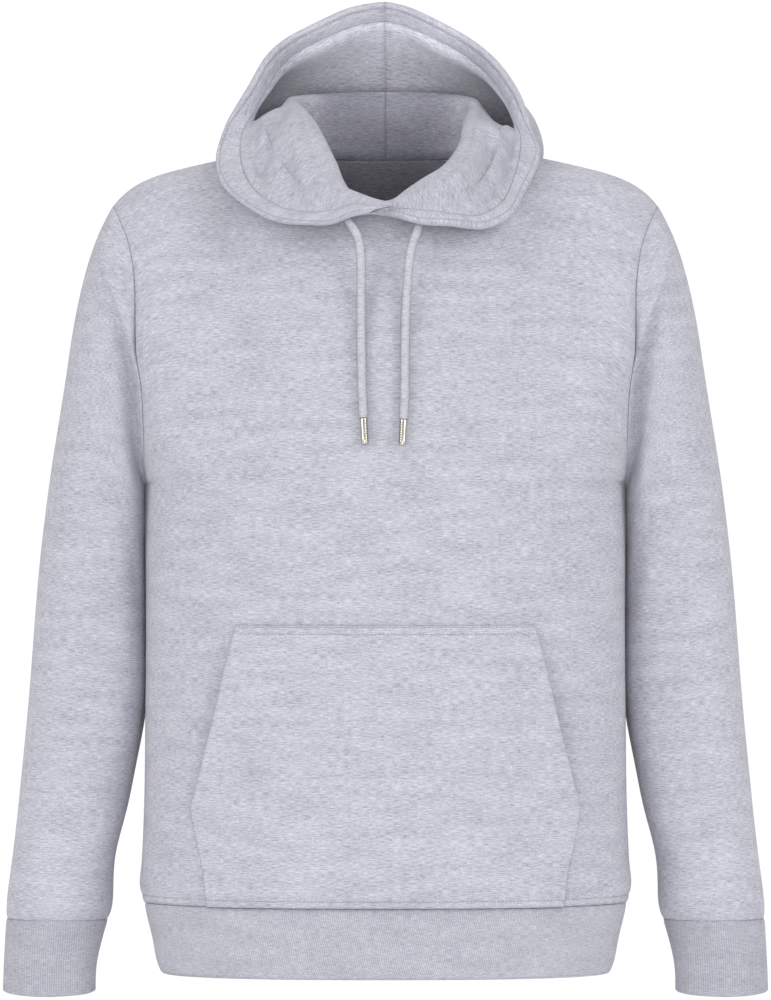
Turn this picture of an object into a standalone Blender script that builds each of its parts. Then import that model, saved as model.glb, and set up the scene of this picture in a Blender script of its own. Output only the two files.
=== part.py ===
"""Pullover hoodie in heather grey fleece, hollow and filled out as when it is worn.

Millimetres in the tables, metres in the scene. +Z is up, -Y is the front, and the origin is
midway between the two high shoulder points, where the neck meets the shoulder seams.
"Left" and "right" are as seen from the front, so the left side is -X.
"""

from collections import namedtuple

import bmesh
import bpy
import numpy as np

MM = 0.001

# Walls and seams
BODY_WALL = 2.0
HOOD_WALL = 1.2
RIB_WALL = 1.6
RIB_HEIGHT = 0.9
SEAM_GAP = 0.3
LAYER_GAP = 0.5

# Neck and shoulders
NECK_HALF_WIDTH = 95.0
NECK_FRONT_REACH = 88.0
NECK_BACK_REACH = 85.0
NECK_FRONT_DROP = 68.0
NECK_BACK_DROP = 8.0
TIP_HALF_WIDTH = 231.6
SHOULDER_SLOPE = 30.0
SHOULDER_ROUNDING = 19.3

# Armholes: an upright oval between the shoulder tip and the underarm
UNDERARM_HALF_WIDTH = 204.5
UNDERARM_Z = -285.0
SIDE_SEAM_Y = -8.0
ARMHOLE_FRONT_BULGE = 54.0
ARMHOLE_BACK_BULGE = 60.0
ARMHOLE_INSET = 9.0

# Columns and rows of the panels
SHOULDER_STEPS = 6
FRONT_NECK_STEPS = 12
BACK_NECK_STEPS = 10
ARMHOLE_STEPS = 10
BODY_ROWS_Z = (-640.0, -626.0, -606.0, -560.0, -490.0, -420.0, -350.0, -285.0)

BodyLevel = namedtuple("BodyLevel", "z half_width front back")
BODY = (
    BodyLevel(-640, 205.5, 120, 126),
    BodyLevel(-626, 208.5, 124, 131),
    BodyLevel(-606, 207.0, 126, 134),
    BodyLevel(-560, 205.0, 127, 135),
    BodyLevel(-490, 204.0, 127, 135),
    BodyLevel(-420, 203.5, 127, 136),
    BodyLevel(-350, 203.8, 128, 138),
    BodyLevel(-285, 204.5, 128, 140),
)
BODY_SQUARENESS_FRONT = 2.3
BODY_SQUARENESS_BACK = 2.2
CHEST_RISE = 230.0
BACK_RISE = 240.0
SHOULDER_ROLL_FRONT = 120.0
SHOULDER_ROLL_BACK = 135.0
NECK_ROLL = 40.0
NECK_FLARE = 90.0

# Sleeves: rings that fan round the underarm, then turn level
SleeveRing = namedtuple("SleeveRing", "outer_x outer_z inner_x inner_z front back middle_y trough")
SLEEVE = (
    SleeveRing(241.0, -68.0, 206.2, -288.0, 59, 63, -6, 0),
    SleeveRing(251.5, -95.0, 206.6, -291.0, 62, 65, -3, 2),
    SleeveRing(260.5, -129.0, 206.8, -294.5, 64, 68, 2, 5),
    SleeveRing(267.5, -166.0, 206.8, -299.0, 66, 70, 8, 8),
    SleeveRing(275.0, -214.0, 206.2, -305.0, 68, 72, 15, 9),
    SleeveRing(283.5, -265.0, 204.5, -317.0, 70, 72, 22, 6),
    SleeveRing(290.0, -310.0, 203.5, -336.0, 70, 71, 28, 2),
    SleeveRing(295.5, -357.0, 202.8, -368.0, 68, 69, 31, 0),
    SleeveRing(300.0, -410.0, 202.4, -413.0, 65, 66, 32, 0),
    SleeveRing(304.5, -469.0, 203.6, -469.0, 60, 62, 30, 0),
    SleeveRing(309.5, -524.0, 212.5, -522.0, 56, 58, 24, 0),
    SleeveRing(313.5, -566.0, 221.0, -564.0, 51, 53, 18, 0),
    SleeveRing(318.0, -606.0, 230.5, -604.0, 47, 49, 12, 0),
    SleeveRing(322.0, -638.0, 232.0, -638.0, 45, 47, 8, 0),
    SleeveRing(322.0, -655.0, 236.0, -655.0, 39, 41, 6, 0),
)
SLEEVE_TROUGH_ANGLE = 2.35
SLEEVE_TROUGH_WIDTH = 0.34

# Rib cuffs and hem
CUFF_RIBS = 32
CuffLevel = namedtuple("CuffLevel", "z outer_x inner_x front back")
CUFF = (
    CuffLevel(-655.3, 322.5, 236.0, 38, 40),
    CuffLevel(-690.0, 324.5, 245.0, 32, 34),
    CuffLevel(-716.0, 325.5, 246.5, 30, 32),
)
CUFF_MIDDLE_Y = 5.0
CUFF_FRONT_DIP = 4.0
HEM_RIBS = 96
HemLevel = namedtuple("HemLevel", "z half_width front back squareness")
HEM = (
    HemLevel(-640.3, 204.5, 120, 125, 2.3),
    HemLevel(-698.0, 191.5, 118, 124, 2.45),
)

# Pocket: a patch on the front panel, held off it at the slanted hand openings
PocketLevel = namedtuple("PocketLevel", "z half_width stand_off")
POCKET = (
    PocketLevel(-636.0, 150.0, 1.2),
    PocketLevel(-610.0, 152.5, 4.0),
    PocketLevel(-584.0, 158.5, 8.0),
    PocketLevel(-557.0, 163.5, 12.0),
    PocketLevel(-520.0, 153.5, 13.0),
    PocketLevel(-480.0, 143.5, 11.5),
    PocketLevel(-440.0, 134.5, 7.0),
    PocketLevel(-404.0, 125.0, 1.2),
)
POCKET_COLUMNS = 14
POCKET_WALL = 2.0

# Hood: one row for each section round the neck, from the end that lies on top at the throat,
# round the left side and the back, to the end that lies beneath. The angle is where the section
# is sewn to the neckline, the ridge is where the cloth rolls over, and the rim is the face edge.
HoodSection = namedtuple("HoodSection", "angle ridge_x ridge_y ridge_z rim_x rim_y rim_z casing")
HOOD = (
    HoodSection(-4, 4.6, -108, -48.6, 6.3, -115, -58.6, 5),
    HoodSection(6, -8.8, -107, -46.9, -12.9, -117, -60.5, 7),
    HoodSection(18, -28.0, -101, -41.4, -35.5, -113, -66.6, 14),
    HoodSection(32, -39.8, -90, -32.1, -67.2, -109, -69.2, 13),
    HoodSection(46, -47.4, -72, -15.3, -94.9, -100, -65.1, 14),
    HoodSection(60, -56.9, -48, 4.4, -119.5, -82, -51.0, 16),
    HoodSection(75, -67.3, -22, 23.5, -137.7, -57, -33.5, 24),
    HoodSection(90, -77.8, 2, 36.7, -143.4, -30, -9.9, 28),
    HoodSection(105, -81.6, 28, 42.4, -135.5, -5, 20.1, 27),
    HoodSection(122, -75.9, 52, 45.5, -118.8, 12, 49.1, 19),
    HoodSection(140, -62.4, 72, 47.5, -96.9, 25, 84.5, 18),
    HoodSection(158, -41.0, 88, 48.4, -62.8, 36, 107.0, 17),
    HoodSection(180, -3.9, 97, 48.9, -3.9, 42, 127.1, 18),
    HoodSection(202, 38.4, 88, 48.4, 52.6, 36, 106.1, 17),
    HoodSection(220, 62.4, 72, 46.6, 89.2, 25, 80.6, 17),
    HoodSection(238, 75.9, 52, 42.9, 112.9, 12, 48.3, 17),
    HoodSection(255, 77.3, 28, 36.4, 124.4, -5, 15.9, 17),
    HoodSection(270, 73.5, 2, 25.6, 130.7, -30, -9.9, 21),
    HoodSection(285, 69.9, -22, 8.2, 117.5, -57, -39.8, 16),
    HoodSection(300, 61.1, -48, -7.5, 104.4, -82, -61.9, 15),
    HoodSection(314, 50.8, -72, -19.5, 82.3, -100, -72.2, 13),
    HoodSection(328, 35.6, -88, -29.5, 55.5, -109, -70.4, 13),
    HoodSection(342, 20.5, -93, -38.2, 28.8, -109, -68.8, 14),
    HoodSection(354, 5.4, -83, -46.3, 6.3, -91, -61.3, 6),
    HoodSection(367, -11.3, -80, -48.2, -12.1, -88, -61.5, 5),
)
# The hollow of the hood behind the neck, the same on both sides: its lowest line, how far the
# far wall swells outwards, how far the lining stands in past the casing, and half the width of
# the hollow's floor.
BagSection = namedtuple("BagSection", "angle trough_x trough_y trough_z swell lip floor")
BAG = (
    BagSection(90, 106.4, -14.6, 6.0, 0, 0, 0.5),
    BagSection(106, 113.4, 11.3, 1.7, 3.5, 0, 1.3),
    BagSection(122, 122, 48, -16, 18, 5, 7.0),
    BagSection(140, 102, 98, -38, 34, 12, 9.0),
    BagSection(158, 60, 136, -60, 44, 15, 9.0),
    BagSection(180, 0, 156, -74, 50, 16, 9.0),
)
LIP_LEAST = 4.0
BAG_START = 90.3
BAG_BLEND = 21.2
FLAP_BOW = 6.0
RIDGE_ROLL = 6.0
CASING_SWELL = 1.9
HOOD_LIFT = 0.6
CROSSING_SHIFT = 4.0
CROSSING_REACH = 16.0

# Drawcords and their metal tips
CORD_DIAMETER = 6.4
CORD_STEP = 15.0
CordPoint = namedtuple("CordPoint", "x y z")
CORD_LEFT = (
    CordPoint(-34.5, -100.5, -58.0),
    CordPoint(-31.6, -103.6, -65.0),
    CordPoint(-27.4, -107.2, -71.5),
    CordPoint(-24.0, -109.8, -77.5),
    CordPoint(-21.8, -111.4, -85.0),
    CordPoint(-20.6, -112.0, -96.0),
    CordPoint(-20.3, -112.2, -112.0),
    CordPoint(-20.3, -113.2, -137.0),
    CordPoint(-20.0, -118.3, -176.0),
    CordPoint(-19.1, -125.5, -216.0),
    CordPoint(-18.3, -127.6, -231.0),
)
CORD_RIGHT = (
    CordPoint(29.5, -95.3, -59.0),
    CordPoint(28.6, -97.8, -67.0),
    CordPoint(26.3, -102.7, -75.0),
    CordPoint(23.6, -107.6, -82.0),
    CordPoint(21.4, -110.4, -90.0),
    CordPoint(19.8, -111.6, -100.0),
    CordPoint(18.6, -112.2, -114.0),
    CordPoint(17.1, -113.6, -138.0),
    CordPoint(16.2, -118.7, -176.0),
    CordPoint(15.8, -125.7, -216.0),
    CordPoint(15.0, -128.0, -232.0),
)
TIP_DIAMETER = 5.6
TIP_LENGTH = 22.0

CLOTH_COLOUR = (0.55, 0.55, 0.61, 1.0)
CORD_COLOUR = (0.57, 0.57, 0.62, 1.0)
METAL_COLOUR = (0.72, 0.68, 0.60, 1.0)


# ---------------------------------------------------------------- small maths

def through(knots, values, at):
    """A smooth curve through the values at the knots, read at one place or several."""
    knots = np.asarray(knots, float)
    values = np.asarray(values, float)
    at = np.asarray(at, float)
    slopes = np.gradient(values, knots, axis=0)
    index = np.clip(np.searchsorted(knots, at, side="right") - 1, 0, len(knots) - 2)
    span = knots[index + 1] - knots[index]
    part = (at - knots[index]) / span
    if values.ndim > 1:
        span = span[..., None]
        part = part[..., None]
    start = (1 + 2 * part) * (1 - part) ** 2 * values[index]
    start_slope = part * (1 - part) ** 2 * span * slopes[index]
    end = part ** 2 * (3 - 2 * part) * values[index + 1]
    end_slope = part ** 2 * (part - 1) * span * slopes[index + 1]
    return start + start_slope + end + end_slope


def column(rows, *names):
    """The named columns of a table, as an array with one line for each row."""
    picked = np.array([[getattr(row, name) for name in names] for row in rows], float)
    return picked[:, 0] if len(names) == 1 else picked


def unit(vectors):
    return vectors / np.linalg.norm(vectors, axis=-1, keepdims=True)


def ease(part):
    part = np.clip(part, 0.0, 1.0)
    return part * part * (3 - 2 * part)


def grid_normals(points):
    """Unit normals of a grid of points, along rows cross columns."""
    down = np.gradient(points, axis=0)
    across = np.gradient(points, axis=1)
    return unit(np.cross(across, down))


def evened(vectors):
    """Each row's vectors mixed with their neighbours', so that offsets from a tight bend don't cross."""
    mixed = vectors.copy()
    mixed[:, 1:-1] = vectors[:, 1:-1] / 2 + (vectors[:, :-2] + vectors[:, 2:]) / 4
    return unit(mixed)


# ---------------------------------------------------------------- mesh builders

def add_object(name, mesh_data, material):
    bmesh.ops.recalc_face_normals(mesh_data, faces=mesh_data.faces[:])
    if mesh_data.calc_volume(signed=True) < 0:
        bmesh.ops.reverse_faces(mesh_data, faces=mesh_data.faces[:])
    mesh = bpy.data.meshes.new(name)
    mesh_data.to_mesh(mesh)
    mesh_data.free()
    mesh.shade_smooth()
    mesh.set_sharp_from_angle(angle=0.9)
    mesh.materials.append(material)
    made = bpy.data.objects.new(name, mesh)
    hoodie.objects.link(made)
    return made


def wall(name, outside, inside, material):
    """A closed wall between two matching grids of points: a flat grid extruded, then moved."""
    rows, columns = outside.shape[:2]
    mesh_data = bmesh.new()
    bmesh.ops.create_grid(mesh_data, x_segments=columns - 1, y_segments=rows - 1, size=0.5)
    lifted = bmesh.ops.extrude_face_region(mesh_data, geom=mesh_data.faces[:])["geom"]
    lifted = {vert for vert in lifted if isinstance(vert, bmesh.types.BMVert)}
    for vert in mesh_data.verts:
        row = round((vert.co.y + 0.5) * (rows - 1))
        place = round((vert.co.x + 0.5) * (columns - 1))
        layer = outside if vert in lifted else inside
        vert.co = layer[row, place] * MM
    return add_object(name, mesh_data, material)


def tube(name, outside, inside, material):
    """A closed tube wall from two matching grids whose columns run once round: a profile spun."""
    rows, columns = outside.shape[:2]
    mesh_data = bmesh.new()
    profile = [mesh_data.verts.new((2.0, 0.0, row)) for row in range(rows)]
    profile += [mesh_data.verts.new((1.0, 0.0, row)) for row in reversed(range(rows))]
    edges = [mesh_data.edges.new((a, b)) for a, b in zip(profile, profile[1:] + profile[:1])]
    bmesh.ops.spin(
        mesh_data, geom=profile + edges, axis=(0, 0, 1), cent=(0, 0, 0),
        angle=2 * np.pi, steps=columns, use_merge=True,
    )
    for vert in mesh_data.verts:
        place = round(np.arctan2(vert.co.y, vert.co.x) / (2 * np.pi) * columns) % columns
        layer = outside if vert.co.xy.length > 1.5 else inside
        vert.co = layer[round(vert.co.z), place] * MM
    return add_object(name, mesh_data, material)


def plain_material(name, colour, roughness, metallic=0.0):
    made = bpy.data.materials.new(name)
    made.use_nodes = True
    shader = made.node_tree.nodes["Principled BSDF"]
    shader.inputs["Base Color"].default_value = colour
    shader.inputs["Roughness"].default_value = roughness
    shader.inputs["Metallic"].default_value = metallic
    return made


# ---------------------------------------------------------------- body

def neckline(angle):
    """The neckline's outer edge; 0 is the front middle, 90 the left shoulder, 180 the back."""
    turn = np.radians(angle)
    forward = np.cos(turn)
    in_front = forward > 0
    reach = np.where(in_front, NECK_FRONT_REACH, NECK_BACK_REACH)
    drop = np.where(in_front, NECK_FRONT_DROP, NECK_BACK_DROP)
    depth = np.abs(forward) ** np.where(in_front, 1.7, 1.3)
    return np.stack([-NECK_HALF_WIDTH * np.sin(turn), -reach * forward, -drop * depth], axis=-1)


def shoulder(share):
    """The shoulder seam on the right side, from the neck, 0, to the shoulder tip, 1."""
    share = np.asarray(share, float)
    width = NECK_HALF_WIDTH + (TIP_HALF_WIDTH - NECK_HALF_WIDTH) * share
    drop = SHOULDER_SLOPE * share + SHOULDER_ROUNDING * share ** 8
    return np.stack([width, 0 * share, -drop], axis=-1)


def armhole(turn):
    """The right armhole; 0 is the shoulder tip, pi the underarm, and the front lies between."""
    turn = np.asarray(turn, float)
    tip = shoulder(1.0)
    underarm = np.array([UNDERARM_HALF_WIDTH, SIDE_SEAM_Y, UNDERARM_Z])
    share = ((1 - np.cos(turn)) / 2)[..., None]
    line = tip * (1 - share) + underarm * share
    side = np.sin(turn)
    bulge = np.where(side > 0, ARMHOLE_FRONT_BULGE, ARMHOLE_BACK_BULGE) * side
    shift = np.stack([-ARMHOLE_INSET * side ** 2, -bulge, 0 * side], axis=-1)
    return line + shift


def top_edge(front):
    """The panel's top edge from the left shoulder tip across the neckline to the right one."""
    steps = np.linspace(0, 1, SHOULDER_STEPS + 1)
    seam = shoulder(1 - (1 - steps) ** 1.5)
    mirrored = seam[::-1] * (-1, 1, 1)
    if front:
        neck = neckline(np.linspace(90, -90, FRONT_NECK_STEPS + 1))
    else:
        neck = neckline(np.linspace(90, 270, BACK_NECK_STEPS + 1))
    return np.concatenate([mirrored, neck[1:-1], seam])


def body_section(z, across, front):
    """Points round half the body at one height; across runs from -1, the left side, to 1."""
    half_width, forward, backward = through(
        column(BODY, "z"), column(BODY, "half_width", "front", "back"), z)
    turn = across * np.pi / 2
    if front:
        power = 2 / BODY_SQUARENESS_FRONT
        y = SIDE_SEAM_Y - (forward + SIDE_SEAM_Y) * np.abs(np.cos(turn)) ** power
    else:
        power = 2 / BODY_SQUARENESS_BACK
        y = SIDE_SEAM_Y + (backward - SIDE_SEAM_Y) * np.abs(np.cos(turn)) ** power
    x = half_width * np.sign(turn) * np.abs(np.sin(turn)) ** power
    return np.stack([x, y, np.full_like(x, z)], axis=-1)


def body_columns(front):
    """Where each column crosses the chest, crowded so that columns rise straight to the neck."""
    steps = FRONT_NECK_STEPS if front else BACK_NECK_STEPS
    neck_share = 0.36
    middle = np.linspace(-neck_share, neck_share, steps + 1)
    side = neck_share + (1 - neck_share) * np.linspace(0, 1, SHOULDER_STEPS + 1)[1:]
    return np.concatenate([-side[::-1], middle, side])


def body_panel(front):
    """The outer points and the inward wall directions of the front or back panel."""
    across = body_columns(front)
    lower = np.array([body_section(z, across, front) for z in BODY_ROWS_Z])
    chest = lower[-1]
    top = top_edge(front)
    in_neck = (np.abs(top[:, 0]) < NECK_HALF_WIDTH - 0.1)[:, None]
    facing = 1.0 if front else -1.0
    rise = np.array([0, 0, CHEST_RISE if front else BACK_RISE])
    over = np.array([0, facing * (SHOULDER_ROLL_FRONT if front else SHOULDER_ROLL_BACK), 0])
    collar = np.array([0, facing * 0.45, 1.0 if front else 0.25])
    depth = np.abs(top[:, 1:2]) / NECK_FRONT_REACH
    neck_leave = over * (1 - ease(depth)) + collar * NECK_ROLL * ease(depth)
    leave = np.where(in_neck, neck_leave, over)
    by_neck = np.abs(top[:, 0]) < NECK_HALF_WIDTH + 0.1
    leave[by_neck, 0] = -NECK_FLARE * np.sign(top[by_neck, 0]) * (top[by_neck, 0] / NECK_HALF_WIDTH) ** 2
    upper = []
    for step in range(1, ARMHOLE_STEPS + 1):
        even = step / ARMHOLE_STEPS
        turned = (1 - np.cos(np.pi * even)) / 2
        part = (even + turned) / 2
        row = (
            (1 + 2 * part) * (1 - part) ** 2 * chest + part * (1 - part) ** 2 * rise
            + part ** 2 * (3 - 2 * part) * top + part ** 2 * (part - 1) * leave
        )
        turn = np.pi * (1 - even)
        edge = armhole(turn if front else -turn)
        pull = ease((np.abs(across) - 0.25) / 0.75)[:, None] ** 1.4
        left_shift = edge * (-1, 1, 1) - row[0]
        right_shift = edge - row[-1]
        row = row + pull * np.where(across[:, None] < 0, left_shift, right_shift)
        upper.append(row)
    points = np.concatenate([lower, np.array(upper)])
    inward = grid_normals(points) * (-1 if front else 1)
    inward[0, :, 2] = 0
    inward[: len(lower), 0] = (1, 0, 0)
    inward[: len(lower), -1] = (-1, 0, 0)
    seam = np.gradient(top, axis=0)
    flat = ~in_neck[:, 0]
    inward[-1, flat] = np.stack([seam[flat, 2], 0 * seam[flat, 2], -seam[flat, 0]], axis=-1)
    for step in range(ARMHOLE_STEPS + 1):
        turn = np.pi * (1 - step / ARMHOLE_STEPS) * (1 if front else -1)
        into = armhole_inward(turn, -1.0)
        inward[len(lower) - 1 + step, -1] = into
        inward[len(lower) - 1 + step, 0] = into * (-1, 1, 1)
    return points, unit(inward)


def armhole_inward(turn, side):
    """Which way a wall's thickness goes at the right armhole; side is 1 for the sleeve's wall."""
    ahead = armhole(turn + 0.01) - armhole(turn - 0.01)
    plane_normal = np.array([1.0, 0.0, 0.0])
    radial = unit(np.cross(plane_normal, ahead))
    lean = 0.15 + 0.85 * ((1 - np.cos(turn)) / 2) ** 6
    return unit(radial + lean * side * plane_normal)


def part_at_side_seams(points, facing):
    """Half a seam's gap between front and back, at the side and shoulder seams."""
    moved = points.copy()
    lower = len(BODY_ROWS_Z)
    moved[:lower, 0, 1] += facing * SEAM_GAP / 2
    moved[:lower, -1, 1] += facing * SEAM_GAP / 2
    moved[-1, : SHOULDER_STEPS + 1, 1] += facing * SEAM_GAP / 2
    moved[-1, -SHOULDER_STEPS - 1:, 1] += facing * SEAM_GAP / 2
    return moved


def make_body():
    for name, front in (("front_panel", True), ("back_panel", False)):
        points, inward = body_panel(front)
        facing = -1.0 if front else 1.0
        outside = part_at_side_seams(points, facing)
        inside = part_at_side_seams(points + inward * BODY_WALL, facing)
        wall(name, outside, inside, cloth)


# ---------------------------------------------------------------- sleeves and cuffs

def sleeve_ring(ring, turn):
    """One ring of the right sleeve; turn 0 is its outer side and the front lies before pi."""
    outer = np.array([ring.outer_x, ring.middle_y, ring.outer_z])
    inner = np.array([ring.inner_x, ring.middle_y, ring.inner_z])
    side = np.sin(turn)
    depth = np.where(side > 0, ring.front, ring.back) * side
    middle = (outer + inner) / 2
    half = (outer - inner) / 2
    points = middle + np.cos(turn)[:, None] * half
    points[:, 1] -= depth
    dent = ring.trough * np.exp(-((turn - SLEEVE_TROUGH_ANGLE) / SLEEVE_TROUGH_WIDTH) ** 2)
    towards = unit(middle - points)
    return points + dent[:, None] * towards


def make_sleeve(name, side):
    turn = np.arange(2 * ARMHOLE_STEPS) * np.pi / ARMHOLE_STEPS
    seam = armhole(np.where(turn > np.pi, turn - 2 * np.pi, turn))
    seam_in = np.array([armhole_inward(angle if angle <= np.pi else angle - 2 * np.pi, 1.0)
                        for angle in turn])
    rings = [seam + np.array([SEAM_GAP, 0, 0])]
    rings += [sleeve_ring(ring, turn) for ring in SLEEVE]
    points = np.array(rings)
    padded = np.concatenate([points[:, -1:], points, points[:, :1]], axis=1)
    inward = grid_normals(padded)[:, 1:-1]
    middle = points.mean(axis=1, keepdims=True)
    if np.sum(inward * (middle - points)) < 0:
        inward = -inward
    inward[0] = seam_in
    inward[-1, :, 2] = 0
    inside = points + unit(inward) * BODY_WALL
    flip = np.array([side, 1, 1])
    tube(name, points * flip, inside * flip, cloth)


def ribbed(points, inward, ribs):
    """Raises every other column of a rib wall's outer points."""
    columns = points.shape[1]
    high = np.arange(columns) * ribs * 2 // columns % 2 == 0
    return np.where(high[None, :, None], points, points + inward * RIB_HEIGHT)


def make_cuff(name, side):
    turn = np.arange(2 * CUFF_RIBS) * np.pi / CUFF_RIBS
    rings = []
    for index, level in enumerate(CUFF):
        ring = SleeveRing(level.outer_x, level.z, level.inner_x, level.z, level.front, level.back,
                          CUFF_MIDDLE_Y, 0)
        points = sleeve_ring(ring, turn)
        if index == len(CUFF) - 1:
            points[:, 2] -= CUFF_FRONT_DIP * np.sin(turn)
        rings.append(points)
    points = np.array(rings)
    inward = unit((points.mean(axis=1, keepdims=True) - points) * (1, 1, 0))
    inside = points + inward * (RIB_WALL + RIB_HEIGHT)
    flip = np.array([side, 1, 1])
    tube(name, ribbed(points, inward, CUFF_RIBS) * flip, inside * flip, rib)


def make_hem():
    turn = np.arange(2 * HEM_RIBS) * np.pi / HEM_RIBS
    rings = []
    for level in HEM:
        power = 2 / level.squareness
        side = np.cos(turn)
        ahead = np.sin(turn)
        reach = np.where(ahead > 0, level.front + SIDE_SEAM_Y, level.back - SIDE_SEAM_Y)
        x = level.half_width * np.sign(side) * np.abs(side) ** power
        y = SIDE_SEAM_Y - reach * np.sign(ahead) * np.abs(ahead) ** power
        rings.append(np.stack([x, y, np.full_like(x, level.z)], axis=-1))
    points = np.array(rings)
    padded = np.concatenate([points[:, -1:], points, points[:, :1]], axis=1)
    inward = grid_normals(padded)[:, 1:-1] * (1, 1, 0)
    middle = points.mean(axis=1, keepdims=True)
    if np.sum(inward * (middle - points)) < 0:
        inward = -inward
    inward = unit(inward)
    inside = points + inward * (RIB_WALL + RIB_HEIGHT)
    tube("hem_rib", ribbed(points, inward, HEM_RIBS), inside, rib)


# ---------------------------------------------------------------- pocket

def front_surface(x, z):
    """The front panel's outer surface below the chest."""
    half_width, forward = through(column(BODY, "z"), column(BODY, "half_width", "front"), z)
    share = np.clip(np.abs(x) / half_width, 0, 1) ** BODY_SQUARENESS_FRONT
    return SIDE_SEAM_Y - (forward + SIDE_SEAM_Y) * (1 - share) ** (1 / BODY_SQUARENESS_FRONT)


def make_pocket():
    across = np.linspace(-1, 1, POCKET_COLUMNS + 1)
    rows = []
    for level in POCKET:
        x = level.half_width * across
        lift = 1.2 + (level.stand_off - 1.2) * (0.35 + 0.65 * np.abs(across) ** 3)
        y = front_surface(x, level.z) - lift
        rows.append(np.stack([x, y, np.full_like(x, level.z)], axis=-1))
    inside = np.array(rows)
    outward = grid_normals(inside)
    outward *= np.where(outward[..., 1:2] > 0, -1, 1)
    wall("pocket", inside + outward * POCKET_WALL, inside, cloth)


# ---------------------------------------------------------------- hood

def sewn_to(angle):
    """The point of the panels' neckline that a hood section is sewn to, on its straight facets."""
    front = np.linspace(-90, 90, FRONT_NECK_STEPS + 1)
    back = np.linspace(90, 270, BACK_NECK_STEPS + 1)[1:]
    knots = np.concatenate([front, back, front[1:] + 360])
    points = neckline(knots)
    return np.stack([np.interp(angle, knots, points[:, axis]) for axis in range(3)], axis=-1)


def mirrored_bag(angle):
    """The bag's section at a ring angle, for either side."""
    from_front = angle if angle <= 180 else 360 - angle
    values = through(column(BAG, "angle"),
                     column(BAG, "trough_x", "trough_y", "trough_z", "swell", "lip", "floor"),
                     max(from_front, 90))
    side = -1.0 if angle <= 180 else 1.0
    return np.array([side * values[0], values[1], values[2]]), values[3], values[4], values[5]


def hood_section(angle):
    """Control points of one section of the hood's middle surface, from neckline to rim."""
    values = through(column(HOOD, "angle"),
                     column(HOOD, "ridge_x", "ridge_y", "ridge_z", "rim_x", "rim_y", "rim_z", "casing"),
                     angle)
    ridge, rim, casing = values[:3], values[3:6], values[6]
    near_start = 1 - ease((angle + 4) / CROSSING_REACH)
    near_end = 1 - ease((367 - angle) / CROSSING_REACH)
    sewn = sewn_to(angle) + (0, CROSSING_SHIFT * (near_end - near_start), HOOD_LIFT)
    into = unit(ridge - rim)
    end_swell = CASING_SWELL * (1 - 0.6 * max(near_start, near_end))
    edge = rim + into * (LAYER_GAP + HOOD_WALL + end_swell)
    crease = rim + into * casing
    full, swell, lip, floor = mirrored_bag(angle)
    bag = ease((min(angle, 360 - angle) - BAG_START) / BAG_BLEND)
    away = unit((unit(full - sewn) * bag + unit(rim - ridge) * (1 - bag)) * (1, 1, 0))
    full_size = ease(min(angle + 4, 367 - angle) / 40)
    radius = RIDGE_ROLL * (0.45 + 0.55 * full_size)
    ridge_in = ridge + (-away + (0, 0, -1)) * radius
    bow = np.array([0, -0.5, 0.87]) * FLAP_BOW * full_size ** 2 * (1 - bag)
    ridge_out = ridge + (away + (0, 0, -1)) * radius + bow * 0.5
    level = lip / BAG[-1].lip
    towards = unit(into * level + unit(full - crease) * (1 - level))
    lip_end = crease + towards * max(lip, LIP_LEAST) * bag + (ridge_out - crease) * 0.15 * (1 - bag)
    trough = (ridge_out * 0.55 + lip_end * 0.45) * (1 - bag) + full * bag + bow
    outward = unit(np.array([full[0], full[1] - 20.0, 0.0]))
    trough_near = trough - outward * floor * bag + (ridge_out - trough) * 0.35 * (1 - bag)
    trough_far = trough + outward * floor * bag + (lip_end - trough) * 0.2 * (1 - bag)
    far_low = trough * 0.6 + lip_end * 0.4 + outward * swell * bag + bow * 0.2
    far_high = trough * 0.2 + lip_end * 0.8 + outward * swell * bag * 0.8
    controls = np.array([sewn, ridge_in, ridge, ridge_out, trough_near, trough_far,
                         far_low, far_high, lip_end, crease, edge])
    return controls, into, end_swell


HOOD_ROWS = (0, 1, 2, 3, 3.6, 4, 4.5, 5, 5.5, 6, 7, 8, 9)


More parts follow.
